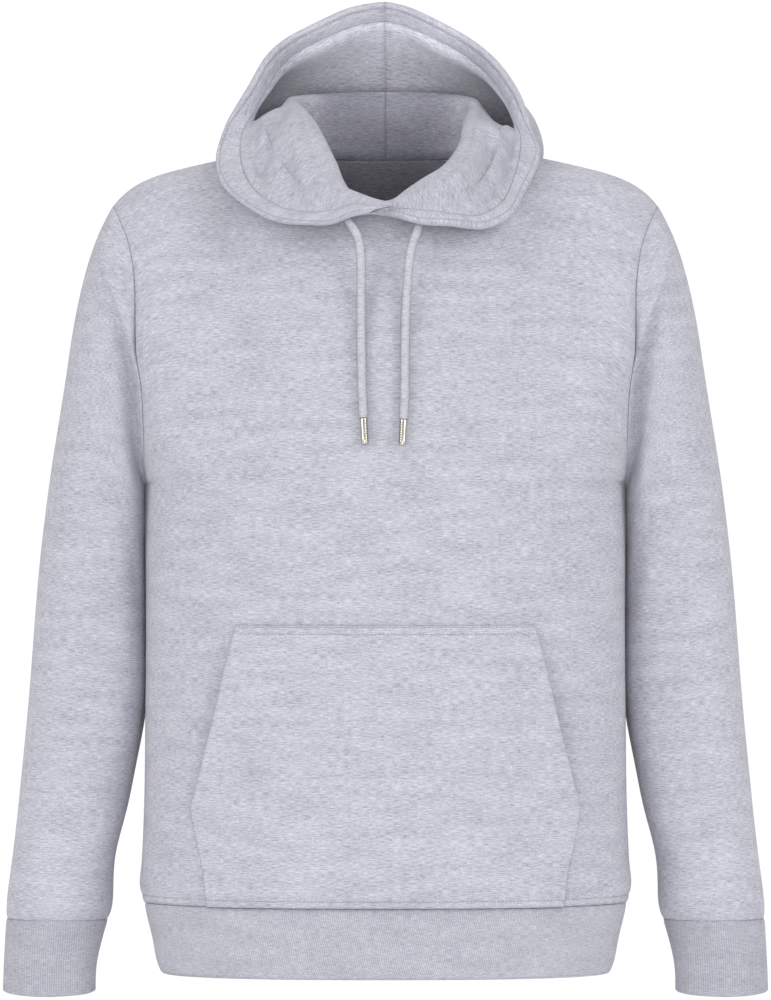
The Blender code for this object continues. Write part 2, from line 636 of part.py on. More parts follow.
def make_hood_half(name, angles, seam_column, seam_side):
    """A shell that turns in at the rim as a casing, and the lining that meets it there."""
    sections = [hood_section(angle) for angle in angles]
    knots = np.arange(len(sections[0][0]))
    sheet = np.array([through(knots, controls, HOOD_ROWS) for controls, into, swell in sections])
    edges = np.array([controls[-1] for controls, into, swell in sections])
    intos = np.array([into for controls, into, swell in sections])
    swell = np.array([swell for controls, into, swell in sections])[:, None]
    normal = grid_normals(np.concatenate([sheet, edges[:, None]], axis=1))
    normal *= -np.sign(normal[len(normal) // 2, -1, 1])
    normal[seam_column, :, 0] = 0
    normal = evened(evened(unit(normal)))
    sheet[seam_column, :, 0] = seam_side * SEAM_GAP / 2
    edges[seam_column, 0] = seam_side * SEAM_GAP / 2
    skin, edge_normal = normal[:, :-1], normal[:, -1]
    near, far = LAYER_GAP, LAYER_GAP + HOOD_WALL
    lip_step = np.zeros_like(sheet)
    lip_step[:, -3:] = unit(sheet[:, -1:] - sheet[:, -2:-1]) * np.array([[0.6], [1.2], [2.0]]) * SEAM_GAP
    lining = (sheet + skin * far - lip_step, sheet + skin * near - lip_step)
    wall("hood_lining_" + name, *lining, cloth)
    outer = [sheet[:, row] - skin[:, row] * far for row in range(sheet.shape[1])]
    inner = [sheet[:, row] - skin[:, row] * near for row in range(sheet.shape[1])]
    half_band = (sheet[:, -1] + edges) / 2
    band_normal = unit(skin[:, -1] + edge_normal)
    band = [(half_band, -band_normal)]
    for turn in np.linspace(0, np.pi, 5):
        band.append((edges, -edge_normal * np.cos(turn) - intos * np.sin(turn)))
    band.append((half_band, band_normal))
    outer += [place + direction * (far + swell) for place, direction in band]
    inner += [place + direction * (near + swell) for place, direction in band]
    outer.append(sheet[:, -1] + skin[:, -1] * far)
    inner.append(sheet[:, -1] + skin[:, -1] * near)
    wall("hood_" + name, np.array(outer), np.array(inner), cloth)


def make_hood():
    front = np.arange(0, 90, 90 / FRONT_NECK_STEPS)
    side = np.arange(90, 108, 90 / BACK_NECK_STEPS / 2)
    back = np.concatenate([side, np.arange(108, 181, 180 / BACK_NECK_STEPS / 2)])
    make_hood_half("left", np.concatenate([[-4], front, back]), -1, -1)
    make_hood_half("right", np.concatenate([360 - back[::-1], 360 - front[::-1], [367]]), 0, 1)


# ---------------------------------------------------------------- drawcords

def make_cord(side_name, route):
    """A cord along a smooth curve through its route, and its metal tip in line with its end."""
    points = column(route, "x", "y", "z")
    lengths = np.concatenate([[0], np.cumsum(np.linalg.norm(np.diff(points, axis=0), axis=1))])
    count = int(lengths[-1] / CORD_STEP) + 2
    even = through(lengths, points, np.linspace(0, lengths[-1], count))
    curve = bpy.data.curves.new("drawcord_" + side_name, "CURVE")
    curve.dimensions = "3D"
    curve.bevel_depth = CORD_DIAMETER / 2 * MM
    curve.bevel_resolution = 2
    curve.use_fill_caps = True
    spline = curve.splines.new("POLY")
    spline.points.add(len(even) - 1)
    for point, place in zip(spline.points, even):
        point.co = (*(place * MM), 1.0)
    curve.materials.append(cord)
    made = bpy.data.objects.new("drawcord_" + side_name, curve)
    hoodie.objects.link(made)
    heading = unit(even[-1] - even[-2])
    start = even[-1] + heading * SEAM_GAP
    mesh_data = bmesh.new()
    bmesh.ops.create_cone(mesh_data, cap_ends=True, segments=16, radius1=TIP_DIAMETER / 2 * MM,
                          radius2=TIP_DIAMETER / 2 * MM, depth=TIP_LENGTH * MM)
    tip = add_object("cord_tip_" + side_name, mesh_data, metal)
    tip.location = (start + heading * TIP_LENGTH / 2) * MM
    from_z = np.arctan2(heading[1], -heading[2])
    tip.rotation_euler = (from_z, 0, 0)


# ---------------------------------------------------------------- the garment

for leftover in list(bpy.data.objects):
    bpy.data.objects.remove(leftover)
hoodie = bpy.data.collections.new("pullover_hoodie")
bpy.context.scene.collection.children.link(hoodie)
cloth = plain_material("heather_fleece", CLOTH_COLOUR, 0.95)
rib = plain_material("heather_rib", CLOTH_COLOUR, 0.95)
cord = plain_material("heather_cord", CORD_COLOUR, 0.9)
metal = plain_material("tip_metal", METAL_COLOUR, 0.25, 1.0)

make_body()
make_sleeve("sleeve_left", -1)
make_sleeve("sleeve_right", 1)
make_cuff("cuff_left", -1)
make_cuff("cuff_right", 1)
make_hem()
make_pocket()
make_hood()
make_cord("left", CORD_LEFT)
make_cord("right", CORD_RIGHT)
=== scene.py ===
"""Pullover hoodie in heather grey fleece, hollow and filled out as when it is worn.

Millimetres in the tables, metres in the scene. +Z is up, -Y is the front, and the origin is
midway between the two high shoulder points. "Left" is as seen from the front, the -X side.
"""

from collections import namedtuple

import bmesh
import bpy
import numpy as np
from mathutils import Matrix, Vector


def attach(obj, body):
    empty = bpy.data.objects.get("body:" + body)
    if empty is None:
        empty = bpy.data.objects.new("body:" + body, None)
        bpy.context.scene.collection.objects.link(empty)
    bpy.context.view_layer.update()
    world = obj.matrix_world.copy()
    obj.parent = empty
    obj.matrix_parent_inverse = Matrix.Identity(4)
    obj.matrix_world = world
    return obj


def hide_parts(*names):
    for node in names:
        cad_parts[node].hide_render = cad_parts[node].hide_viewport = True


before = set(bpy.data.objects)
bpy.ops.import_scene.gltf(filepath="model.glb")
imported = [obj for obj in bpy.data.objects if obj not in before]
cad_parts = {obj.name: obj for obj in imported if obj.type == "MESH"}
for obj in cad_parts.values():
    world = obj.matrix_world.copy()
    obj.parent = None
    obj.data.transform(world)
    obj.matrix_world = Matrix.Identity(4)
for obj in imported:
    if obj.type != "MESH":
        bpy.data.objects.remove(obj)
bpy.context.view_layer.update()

MM = 0.001
scene = bpy.context.scene


def table(kind, *rows):
    """A table of named rows, all of one kind."""
    return tuple(kind(*row) for row in rows)


# ---------------------------------------------------------------- camera

CAMERA_DISTANCE = 6.0
CAMERA_HEIGHT = -0.2992
VIEW_HEIGHT = 0.85

viewer = bpy.data.cameras.new("camera")
viewer.sensor_width = 36.0
viewer.lens = 36.0 * CAMERA_DISTANCE / VIEW_HEIGHT
camera = bpy.data.objects.new("camera", viewer)
camera.location = (0.0, -CAMERA_DISTANCE, CAMERA_HEIGHT)
camera.rotation_euler = (np.pi / 2, 0.0, 0.0)
scene.collection.objects.link(camera)
scene.camera = camera


# ---------------------------------------------------------------- sizes

# Walls and seams
BODY_WALL = 2.0
HOOD_WALL = 1.2
RIB_WALL = 1.6
RIB_HEIGHT = 0.9
SEAM_GAP = 0.12
LAYER_GAP = 0.5
SEAM_TUCK = 0.6
SEAM_TUCK_WIDTH = 1.9
SEAM_LAP = 0.05
ARMHOLE_TUCK = 0.4

# Neck and shoulders
NECK_HALF_WIDTH = 95.0
NECK_FRONT_REACH = 88.0
NECK_BACK_REACH = 85.0
NECK_FRONT_DROP = 68.0
NECK_BACK_DROP = 8.0
THROAT_RISE = 9.2
THROAT_RISE_WIDTH = 28.0
TIP_HALF_WIDTH = 231.6
SHOULDER_SLOPE = 30.0
SHOULDER_ROUNDING = 19.3

# Armholes: an upright oval between the shoulder tip and the underarm
UNDERARM_HALF_WIDTH = 204.5
UNDERARM_Z = -285.0
SIDE_SEAM_Y = -8.0
ARMHOLE_FRONT_BULGE = 54.0
ARMHOLE_BACK_BULGE = 60.0
ARMHOLE_INSET = 9.0
SeamShift = namedtuple("SeamShift", "z inward")
FRONT_ARMHOLE = table(
    SeamShift,
    (-300, 0), (-240, 0), (-205, 0), (-174, -1.8), (-148, 0.8),
    (-123, 4.4), (-98, 6.6), (-78, 6.2), (-60, 3.0), (-45, 0),
)

BodyLevel = namedtuple("BodyLevel", "z half_width front back")
BODY = table(
    BodyLevel,
    (-640, 205.5, 120, 126),
    (-626, 208.5, 124, 131),
    (-606, 207.0, 126, 134),
    (-560, 205.0, 127, 135),
    (-490, 204.0, 127, 135),
    (-420, 203.5, 127, 136),
    (-350, 203.8, 128, 138),
    (-285, 204.5, 128, 140),
)
BODY_SQUARENESS_FRONT = 2.3
BODY_SQUARENESS_BACK = 2.2
CHEST_RISE = 230.0
BACK_RISE = 240.0
SHOULDER_ROLL_FRONT = 120.0
SHOULDER_ROLL_BACK = 135.0
NECK_ROLL = 40.0
NECK_FLARE = 90.0
NECK_SHARE = 0.36

# Sleeves: rings that fan round the underarm, then turn level
SleeveRing = namedtuple("SleeveRing", "outer_x outer_z inner_x inner_z front back middle_y")
SLEEVE = table(
    SleeveRing,
    (241.0, -68.0, 206.2, -288.0, 59, 63, -6),
    (251.5, -95.0, 206.6, -291.0, 62, 65, -3),
    (260.5, -129.0, 206.8, -294.5, 64, 68, 2),
    (267.5, -166.0, 206.8, -299.0, 66, 70, 8),
    (275.0, -214.0, 206.2, -305.0, 68, 72, 15),
    (283.5, -265.0, 204.5, -317.0, 70, 72, 22),
    (290.0, -310.0, 203.5, -336.0, 70, 71, 28),
    (295.5, -357.0, 202.8, -368.0, 68, 69, 31),
    (300.0, -410.0, 202.4, -413.0, 65, 66, 32),
    (304.5, -469.0, 203.6, -469.0, 60, 62, 30),
    (309.5, -524.0, 212.5, -522.0, 56, 58, 24),
    (313.5, -566.0, 221.0, -564.0, 51, 53, 18),
    (318.0, -606.0, 230.5, -604.0, 47, 49, 12),
    (322.0, -638.0, 232.0, -638.0, 45, 47, 8),
    (322.0, -655.0, 236.0, -655.0, 39, 41, 6),
)

# Rib cuffs and hem
RIB_PITCH = 1.55
CuffLevel = namedtuple("CuffLevel", "z outer_x inner_x front back")
CUFF = table(
    CuffLevel,
    (-655.1, 322.5, 236.0, 38, 41.5),
    (-690.0, 324.5, 245.0, 32, 34),
    (-716.0, 325.5, 246.5, 30, 32),
)
CUFF_MIDDLE_Y = 5.0
CUFF_FRONT_DIP = 4.0
HemLevel = namedtuple("HemLevel", "z half_width front back front_squareness back_squareness")
HEM = table(
    HemLevel,
    (-640.1, 204.5, 120, 125, 2.3, 2.2),
    (-654.0, 201.8, 119.8, 124.8, 2.34, 2.28),
    (-671.0, 197.6, 119.2, 124.5, 2.38, 2.36),
    (-688.0, 194.4, 118.5, 124.2, 2.42, 2.42),
    (-699.5, 190.0, 117.6, 123.6, 2.45, 2.45),
)

# Pocket: a patch on the front panel, held off it at the slanted hand openings
PocketLevel = namedtuple("PocketLevel", "z half_width stand_off")
POCKET = table(
    PocketLevel,
    (-639.6, 149.6, 1.2),
    (-610.0, 152.5, 1.4),
    (-584.0, 158.5, 1.8),
    (-557.0, 163.5, 3.0),
    (-520.0, 153.5, 6.0),
    (-480.0, 143.5, 6.5),
    (-440.0, 134.5, 4.5),
    (-404.0, 125.0, 1.2),
)
POCKET_WALL = 2.0

# Hood: one row for each section round the neck, from the end that lies on top at the throat,
# round the left side and the back, to the end that lies beneath.
HoodSection = namedtuple("HoodSection", "angle ridge_x ridge_y ridge_z rim_x rim_y rim_z casing")
HOOD = table(
    HoodSection,
    (-4, 4.6, -108, -52.2, 6.3, -115, -58.6, 5),
    (6, -8.8, -107, -49.3, -12.9, -117, -60.0, 7),
    (14, -21.9, -103.5, -44.4, -28.8, -116, -62.2, 12),
    (18, -28.0, -101, -42.3, -36.5, -113, -66.6, 14),
    (32, -39.8, -90, -32.1, -67.2, -109, -69.2, 13),
    (46, -47.4, -72, -15.3, -94.9, -100, -65.1, 14),
    (60, -56.9, -48, 4.4, -119.5, -82, -51.0, 16),
    (75, -67.3, -22, 23.5, -137.7, -57, -33.5, 24),
    (90, -77.8, 2, 36.7, -143.4, -30, -9.9, 28),
    (105, -81.6, 28, 42.4, -135.5, -5, 20.1, 27),
    (122, -75.9, 52, 45.5, -118.8, 12, 49.1, 19),
    (140, -62.4, 72, 47.5, -96.9, 25, 84.5, 18),
    (158, -41.0, 88, 48.4, -62.8, 36, 107.0, 17),
    (180, -3.9, 97, 48.9, -3.9, 42, 127.1, 18),
    (202, 38.4, 88, 48.4, 52.6, 36, 106.1, 17),
    (220, 62.4, 72, 46.6, 89.2, 25, 80.6, 17),
    (238, 75.9, 52, 42.9, 112.9, 12, 48.3, 17),
    (255, 77.3, 28, 36.4, 124.4, -5, 15.9, 17),
    (270, 73.5, 2, 25.6, 130.7, -30, -9.9, 21),
    (285, 69.9, -22, 8.2, 117.5, -57, -39.8, 16),
    (300, 61.1, -48, -7.5, 104.4, -82, -61.9, 15),
    (314, 50.8, -72, -19.5, 82.3, -100, -72.2, 13),
    (328, 35.6, -88, -29.5, 55.5, -109, -70.4, 13),
    (342, 20.5, -93, -39.4, 28.8, -109, -68.8, 14),
    (354, 5.4, -92, -49.3, 6.3, -102, -62.3, 8),
    (367, -14.3, -91, -51.2, -18.0, -103, -58.6, 7),
)
BagSection = namedtuple("BagSection", "angle trough_x trough_y trough_z swell lip floor")
BAG = table(
    BagSection,
    (90, 106.4, -14.6, 6.0, 0, 0, 0.5),
    (106, 113.4, 11.3, 1.7, 3.5, 0, 1.3),
    (122, 122, 48, -16, 18, 5, 7.0),
    (140, 102, 98, -38, 34, 12, 9.0),
    (158, 60, 136, -60, 44, 15, 9.0),
    (180, 0, 156, -74, 50, 16, 9.0),
)
LIP_LEAST = 4.0
BAG_START = 90.3
BAG_BLEND = 21.2
FLAP_BOW = 6.0
RIDGE_ROLL = 6.0
CASING_SWELL = 1.9
HOOD_LIFT = 0.6
CROSSING_SHIFT = 4.0
CROSSING_REACH = 16.0
FULL_SIZE_WITHIN = 40.0
HOOD_ROWS = (0, 1, 2, 3, 3.6, 4, 4.5, 5, 5.5, 6, 7, 8, 9)
FRONT_NECK_FACETS = 12
BACK_NECK_FACETS = 10

# Drawcords and their metal tips
CORD_DIAMETER = 7.6
CordPoint = namedtuple("CordPoint", "x y z")
CORD_LEFT = table(
    CordPoint,
    (-34.5, -100.5, -58.0),
    (-31.6, -103.6, -65.0),
    (-27.4, -107.2, -71.5),
    (-24.0, -109.8, -77.5),
    (-21.8, -111.4, -85.0),
    (-20.6, -112.0, -96.0),
    (-20.3, -112.2, -112.0),
    (-20.3, -113.2, -137.0),
    (-20.0, -118.3, -176.0),
    (-19.1, -125.5, -216.0),
    (-18.3, -127.6, -231.0),
)
CORD_RIGHT = table(
    CordPoint,
    (29.5, -95.3, -59.0),
    (28.6, -97.8, -67.0),
    (26.3, -102.7, -75.0),
    (23.6, -107.6, -82.0),
    (21.4, -110.4, -90.0),
    (19.8, -111.6, -100.0),
    (18.6, -112.2, -114.0),
    (17.1, -113.6, -138.0),
    (16.2, -118.7, -176.0),
    (15.8, -125.7, -216.0),
    (15.0, -128.0, -232.0),
)
TIP_DIAMETER = 6.4


# ---------------------------------------------------------------- small maths

def through(knots, values, at):
    """A smooth curve through the values at the knots, read at one place or several."""
    knots = np.asarray(knots, float)
    values = np.asarray(values, float)
    at = np.asarray(at, float)
    slopes = np.gradient(values, knots, axis=0)
    return hermite(knots, values, slopes, at)


def hermite(knots, values, slopes, at):
    """A curve through the values at the knots with the slopes given there."""
    index = np.clip(np.searchsorted(knots, at, side="right") - 1, 0, len(knots) - 2)
    span = knots[index + 1] - knots[index]
    part = (at - knots[index]) / span
    extra = (1,) * (values.ndim - 1)
    span = span.reshape(span.shape + extra)
    part = part.reshape(part.shape + extra)
    start = (1 + 2 * part) * (1 - part) ** 2 * values[index]
    start_slope = part * (1 - part) ** 2 * span * slopes[index]
    end = part ** 2 * (3 - 2 * part) * values[index + 1]
    end_slope = part ** 2 * (part - 1) * span * slopes[index + 1]
    return start + start_slope + end + end_slope


def even_spline(values, at):
    """The smoothest curve through evenly spaced values, read at places counted in steps."""
    values = np.asarray(values, float)
    count = len(values)
    beside = np.ones(count - 1)
    system = np.diag(np.full(count, 4.0)) + np.diag(beside, 1) + np.diag(beside, -1)
    system[0, 0] = system[-1, -1] = 2.0
    wanted = np.empty_like(values)
    wanted[1:-1] = 3 * (values[2:] - values[:-2])
    wanted[0] = 3 * (values[1] - values[0])
    wanted[-1] = 3 * (values[-1] - values[-2])
    slopes = np.linalg.solve(system, wanted.reshape(count, -1)).reshape(values.shape)
    return hermite(np.arange(count, dtype=float), values, slopes, np.asarray(at, float))


def finer(grid, row_steps, column_steps, trim):
    """The same surface with more rows and columns, smooth both ways. trim gives the places where
    each new row starts and ends, counted in the old columns."""
    rows = np.linspace(0, grid.shape[0] - 1, (grid.shape[0] - 1) * row_steps + 1)
    share = np.linspace(0, 1, (grid.shape[1] - 1) * column_steps + 1)
    tall = even_spline(grid, rows)
    made = []
    for line, start, end in zip(tall, *trim):
        made.append(even_spline(line, start + (end - start) * share))
    return np.array(made)


def column(rows, *names):
    """The named columns of a table, as an array with one line for each row."""
    picked = np.array([[getattr(row, name) for name in names] for row in rows], float)
    return picked[:, 0] if len(names) == 1 else picked


def unit(vectors):
    return vectors / np.maximum(np.linalg.norm(vectors, axis=-1, keepdims=True), 1e-9)


def ease(part):
    part = np.clip(part, 0.0, 1.0)
    return part * part * (3 - 2 * part)


def bell(distance, width):
    return np.exp(-(distance / width) ** 2)


def grid_normals(points):
    """Unit normals of a grid of points, along rows cross columns."""
    down = np.gradient(points, axis=0)
    across = np.gradient(points, axis=1)
    return unit(np.cross(across, down))


def evened(vectors):
    """Each row's vectors mixed with their neighbours', so that offsets from a tight bend don't
    cross."""
    mixed = vectors.copy()
    mixed[:, 1:-1] = vectors[:, 1:-1] / 2 + (vectors[:, :-2] + vectors[:, 2:]) / 4
    return unit(mixed)


def run_along(points, axis):
    """The distance travelled over the cloth along one way of the grid."""
    steps = np.linalg.norm(np.diff(points, axis=axis), axis=-1)
    start = np.zeros_like(np.take(steps, [0], axis=axis))
    return np.concatenate([start, np.cumsum(steps, axis=axis)], axis=axis)


def from_edges(points, axis):
    """How far each point lies from the grid's two edges, measured over the cloth."""
    run = run_along(points, axis)
    whole = np.take(run, [-1], axis=axis)
    return run, whole - run


def read_along(at, run, points):
    """A line of points, read where the distance run along it reaches the wanted one."""
    return np.stack([np.interp(at, run, points[:, axis]) for axis in range(3)], axis=-1)


def crowded(count, low_end=True, high_end=True, pull=0.5):
    """Shares from 0 to 1 that lie closer together at the ends, where a seam pulls the cloth in."""
    even = np.linspace(0, 1, count + 1)
    low = pull if low_end else 0.0
    high = pull if high_end else 0.0
    speed = 1 - low * bell(even, 0.1) - high * bell(1 - even, 0.1)
    run = np.concatenate([[0], np.cumsum((speed[1:] + speed[:-1]) / 2)])
    return run / run[-1]


# ---------------------------------------------------------------- cloth builders

# What each vertex keeps while a piece is made: its row and place in the grid, and its layer.
KEYS = ("row", "place", "layer")


def to_object(name, mesh_data, materials, sharp_angle=None):
    """A finished mesh as a smooth object in the scene; edges past the sharp angle stay sharp."""
    mesh = bpy.data.meshes.new(name)
    mesh_data.to_mesh(mesh)
    mesh_data.free()
    mesh.shade_smooth()
    if sharp_angle:
        mesh.set_sharp_from_angle(angle=sharp_angle)
    for material in materials:
        mesh.materials.append(material)
    made = bpy.data.objects.new(name, mesh)
    scene.collection.objects.link(made)
    return made


def finish_cloth(name, mesh_data, cloth_run, loops_round, face_cloth, back_cloth):
    """Makes the object and lays its cloth coordinates, in metres, on the corners of its faces."""
    bmesh.ops.recalc_face_normals(mesh_data, faces=mesh_data.faces[:])
    if mesh_data.calc_volume(signed=True) < 0:
        bmesh.ops.reverse_faces(mesh_data, faces=mesh_data.faces[:])
    made = to_object(name, mesh_data, (face_cloth, back_cloth) if back_cloth else (face_cloth,))
    mesh = made.data
    corner = np.empty(len(mesh.loops), dtype=np.int32)
    mesh.loops.foreach_get("vertex_index", corner)
    kept = {}
    for key in KEYS:
        values = np.empty(len(mesh.vertices), dtype=np.int32)
        mesh.attributes[key].data.foreach_get("value", values)
        kept[key] = values[corner]
    place = kept["place"].reshape(-1, 4)
    if loops_round:
        half_round = loops_round / 2
        wraps = np.ptp(place, axis=1, keepdims=True) > half_round
        place = np.where(wraps & (place < half_round), place + loops_round, place)
    laid = cloth_run[kept["row"].reshape(-1, 4), place] * MM
    laid_map = mesh.uv_layers.new(name="cloth")
    laid_map.data.foreach_set("uv", laid.reshape(-1).astype(np.float32))
    for key in KEYS:
        mesh.attributes.remove(mesh.attributes[key])
    if back_cloth:
        on_back = kept["layer"].reshape(-1, 4).max(axis=1) == 0
        mesh.polygons.foreach_set("material_index", on_back.astype(np.int32))
    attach(made, "root")
    return made


def number_layers(mesh_data):
    return [mesh_data.verts.layers.int.new(key) for key in KEYS]


def wall(name, outside, inside, cloth_run, face_cloth, back_cloth=None):
    """A closed wall between two matching grids of points: a flat grid extruded, then moved."""
    rows, columns = outside.shape[:2]
    mesh_data = bmesh.new()
    keys = number_layers(mesh_data)
    bmesh.ops.create_grid(mesh_data, x_segments=columns - 1, y_segments=rows - 1, size=0.5)
    lifted = bmesh.ops.extrude_face_region(mesh_data, geom=mesh_data.faces[:])["geom"]
    lifted = {vert for vert in lifted if isinstance(vert, bmesh.types.BMVert)}
    layers = (inside * MM, outside * MM)
    for vert in mesh_data.verts:
        row = round((vert.co.y + 0.5) * (rows - 1))
        place = round((vert.co.x + 0.5) * (columns - 1))
        layer = 1 if vert in lifted else 0
        vert[keys[0]], vert[keys[1]], vert[keys[2]] = row, place, layer
        vert.co = layers[layer][row, place]
    return finish_cloth(name, mesh_data, cloth_run, 0, face_cloth, back_cloth)


def tube(name, outside, inside, cloth_run, face_cloth, back_cloth=None):
    """A closed tube wall from two matching grids whose columns run once round: a profile spun."""
    rows, columns = outside.shape[:2]
    mesh_data = bmesh.new()
    keys = number_layers(mesh_data)
    profile = [mesh_data.verts.new((2.0, 0.0, row)) for row in range(rows)]
    profile += [mesh_data.verts.new((1.0, 0.0, row)) for row in reversed(range(rows))]
    edges = [mesh_data.edges.new((a, b)) for a, b in zip(profile, profile[1:] + profile[:1])]
    bmesh.ops.spin(
        mesh_data, geom=profile + edges, axis=(0, 0, 1), cent=(0, 0, 0),
        angle=2 * np.pi, steps=columns, use_merge=True,
    )
    layers = (inside * MM, outside * MM)
    for vert in mesh_data.verts:
        row = round(vert.co.z)
        place = round(np.arctan2(vert.co.y, vert.co.x) / (2 * np.pi) * columns) % columns
        layer = 1 if vert.co.xy.length > 1.5 else 0
        vert[keys[0]], vert[keys[1]], vert[keys[2]] = row, place, layer
        vert.co = layers[layer][row, place]
    return finish_cloth(name, mesh_data, cloth_run, columns, face_cloth, back_cloth)


# ---------------------------------------------------------------- stitching and folds

STITCH_PITCH = 3.3
STITCH_LENGTH = 2.5
THREAD_WIDTH = 0.75
THREAD_LIFT = 0.1


def thread_row(name, lines):
    """Sewing thread along lines of points on the cloth, each with the cloth's outward direction:
    short rounded stitches, half sunk in."""
    mesh_data = bmesh.new()
    for points, outward in lines:
        run = run_along(points, 0)
        count = int(run[-1] / STITCH_PITCH)
        middles = (np.arange(count) + 0.5) * run[-1] / count
        place = read_along(middles, run, points)
        ahead = read_along(middles + 0.5, run, points)
        up = unit(read_along(middles, run, outward))
        along = unit(ahead - place)
        across = unit(np.cross(up, along))
        sizes = (STITCH_LENGTH / 2, THREAD_WIDTH / 2, THREAD_WIDTH / 2)
        for spot, *axes in zip(place + up * THREAD_WIDTH * THREAD_LIFT, along, across, up):
            turned = np.eye(4)
            turned[:3, :3] = np.stack([axis * size for axis, size in zip(axes, sizes)], axis=1)
            turned[:3, 3] = spot
            turned[:3] *= MM
            lying = Matrix(turned.tolist()) @ Matrix.Rotation(np.pi / 2, 4, "Y")
            bmesh.ops.create_uvsphere(
                mesh_data, u_segments=4, v_segments=6, radius=1.0, matrix=lying)
    made = to_object(name, mesh_data, (sewing_thread,))
    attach(made, "root")
    return made


def at_run(points, outward, run, wanted):
    """Along each line of a grid's rows, the point and direction where the run over the cloth
    reaches the wanted distance; rows are the first axis."""
    places, ups = [], []
    for column_index in range(points.shape[1]):
        travelled = run[:, column_index]
        places.append(read_along(wanted, travelled, points[:, column_index]))
        ups.append(read_along(wanted, travelled, outward[:, column_index]))
    return np.array(places), unit(np.array(ups))


FOLD_END_DEPTH = 0.35
FOLD_END_SHARPNESS = 0.7


def soft_folds(folds, level, height):
    """How deep each point lies in a table of soft troughs; a ridge has a depth below nothing.
    A fold keeps its end depth's share where it runs out, and is deepest at its middle."""
    deep = np.zeros_like(level)
    for fold in folds:
        start = np.array([fold.from_across, fold.from_up], float)
        reach = np.array([fold.to_across, fold.to_up], float) - start
        place = np.stack([level, height], axis=-1) - start
        share = np.clip((place @ reach) / (reach @ reach), 0, 1)
        gap = np.linalg.norm(place - share[..., None] * reach, axis=-1)
        middle = np.sin(np.pi * np.clip(share, 0.02, 0.98)) ** FOLD_END_SHARPNESS
        fade = FOLD_END_DEPTH + (1 - FOLD_END_DEPTH) * middle
        deep = deep + fold.depth * fade * bell(gap, fold.width)
    return deep


# ---------------------------------------------------------------- finishes

def shader_group(name, inputs, outputs):
    """An empty shader node group with named inputs and outputs."""
    group = bpy.data.node_groups.new(name, "ShaderNodeTree")
    for label, kind, value in inputs:
        socket = group.interface.new_socket(name=label, in_out="INPUT", socket_type=kind)
        if value is not None:
            socket.default_value = value
    for label, kind in outputs:
        group.interface.new_socket(name=label, in_out="OUTPUT", socket_type=kind)
    return group, group.nodes.new("NodeGroupInput"), group.nodes.new("NodeGroupOutput")


def maths(tree, operation, first, second=None, third=None, clamp=False):
    """One sum in a node tree; each part is a number or the socket of another node."""
    node = tree.nodes.new("ShaderNodeMath")
    node.operation = operation
    node.use_clamp = clamp
    for socket, part in zip(node.inputs, (first, second, third)):
        if part is None:
            continue
        if isinstance(part, (int, float)):
            socket.default_value = part
        else:
            tree.links.new(part, socket)
    return node.outputs[0]


def stretched_noise(tree, coordinates, across, along, detail, roughness, seed):
    """Noise drawn out along the knit's courses: sizes in metres of cloth."""
    mapping = tree.nodes.new("ShaderNodeMapping")
    mapping.inputs["Scale"].default_value = (1 / across, 1 / along, 1.0)
    mapping.inputs["Location"].default_value = (seed, seed * 0.7, seed * 0.3)
    tree.links.new(coordinates, mapping.inputs["Vector"])
    noise = tree.nodes.new("ShaderNodeTexNoise")
    noise.noise_dimensions = "2D"
    noise.inputs["Scale"].default_value = 1.0
    noise.inputs["Detail"].default_value = detail
    noise.inputs["Roughness"].default_value = roughness
    tree.links.new(mapping.outputs[0], noise.inputs["Vector"])
    return noise.outputs[0]


def bumped(tree, height, distance, normal=None):
    """The normal of a surface with a relief; distance is the relief's height in metres."""
    bump = tree.nodes.new("ShaderNodeBump")
    bump.inputs["Strength"].default_value = 1.0
    bump.inputs["Distance"].default_value = distance
    tree.links.new(height, bump.inputs["Height"])
    if normal:
        tree.links.new(normal, bump.inputs["Normal"])
    return bump.outputs["Normal"]


def tinted(tree, colour, tint, share):
    """A colour multiplied by a tint, as far as the share says."""
    mix = tree.nodes.new("ShaderNodeMix")
    mix.data_type = "RGBA"
    mix.blend_type = "MULTIPLY"
    tree.links.new(share, mix.inputs["Factor"])
    tree.links.new(colour, mix.inputs["A"])
    mix.inputs["B"].default_value = tint
    return mix.outputs["Result"]


def use_group(tree, group):
    node = tree.nodes.new("ShaderNodeGroup")
    node.node_tree = group
    return node


def new_material(name):
    """A new material, its node tree and its shader."""
    made = bpy.data.materials.new(name)
    made.use_nodes = True
    return made, made.node_tree, made.node_tree.nodes["Principled BSDF"]


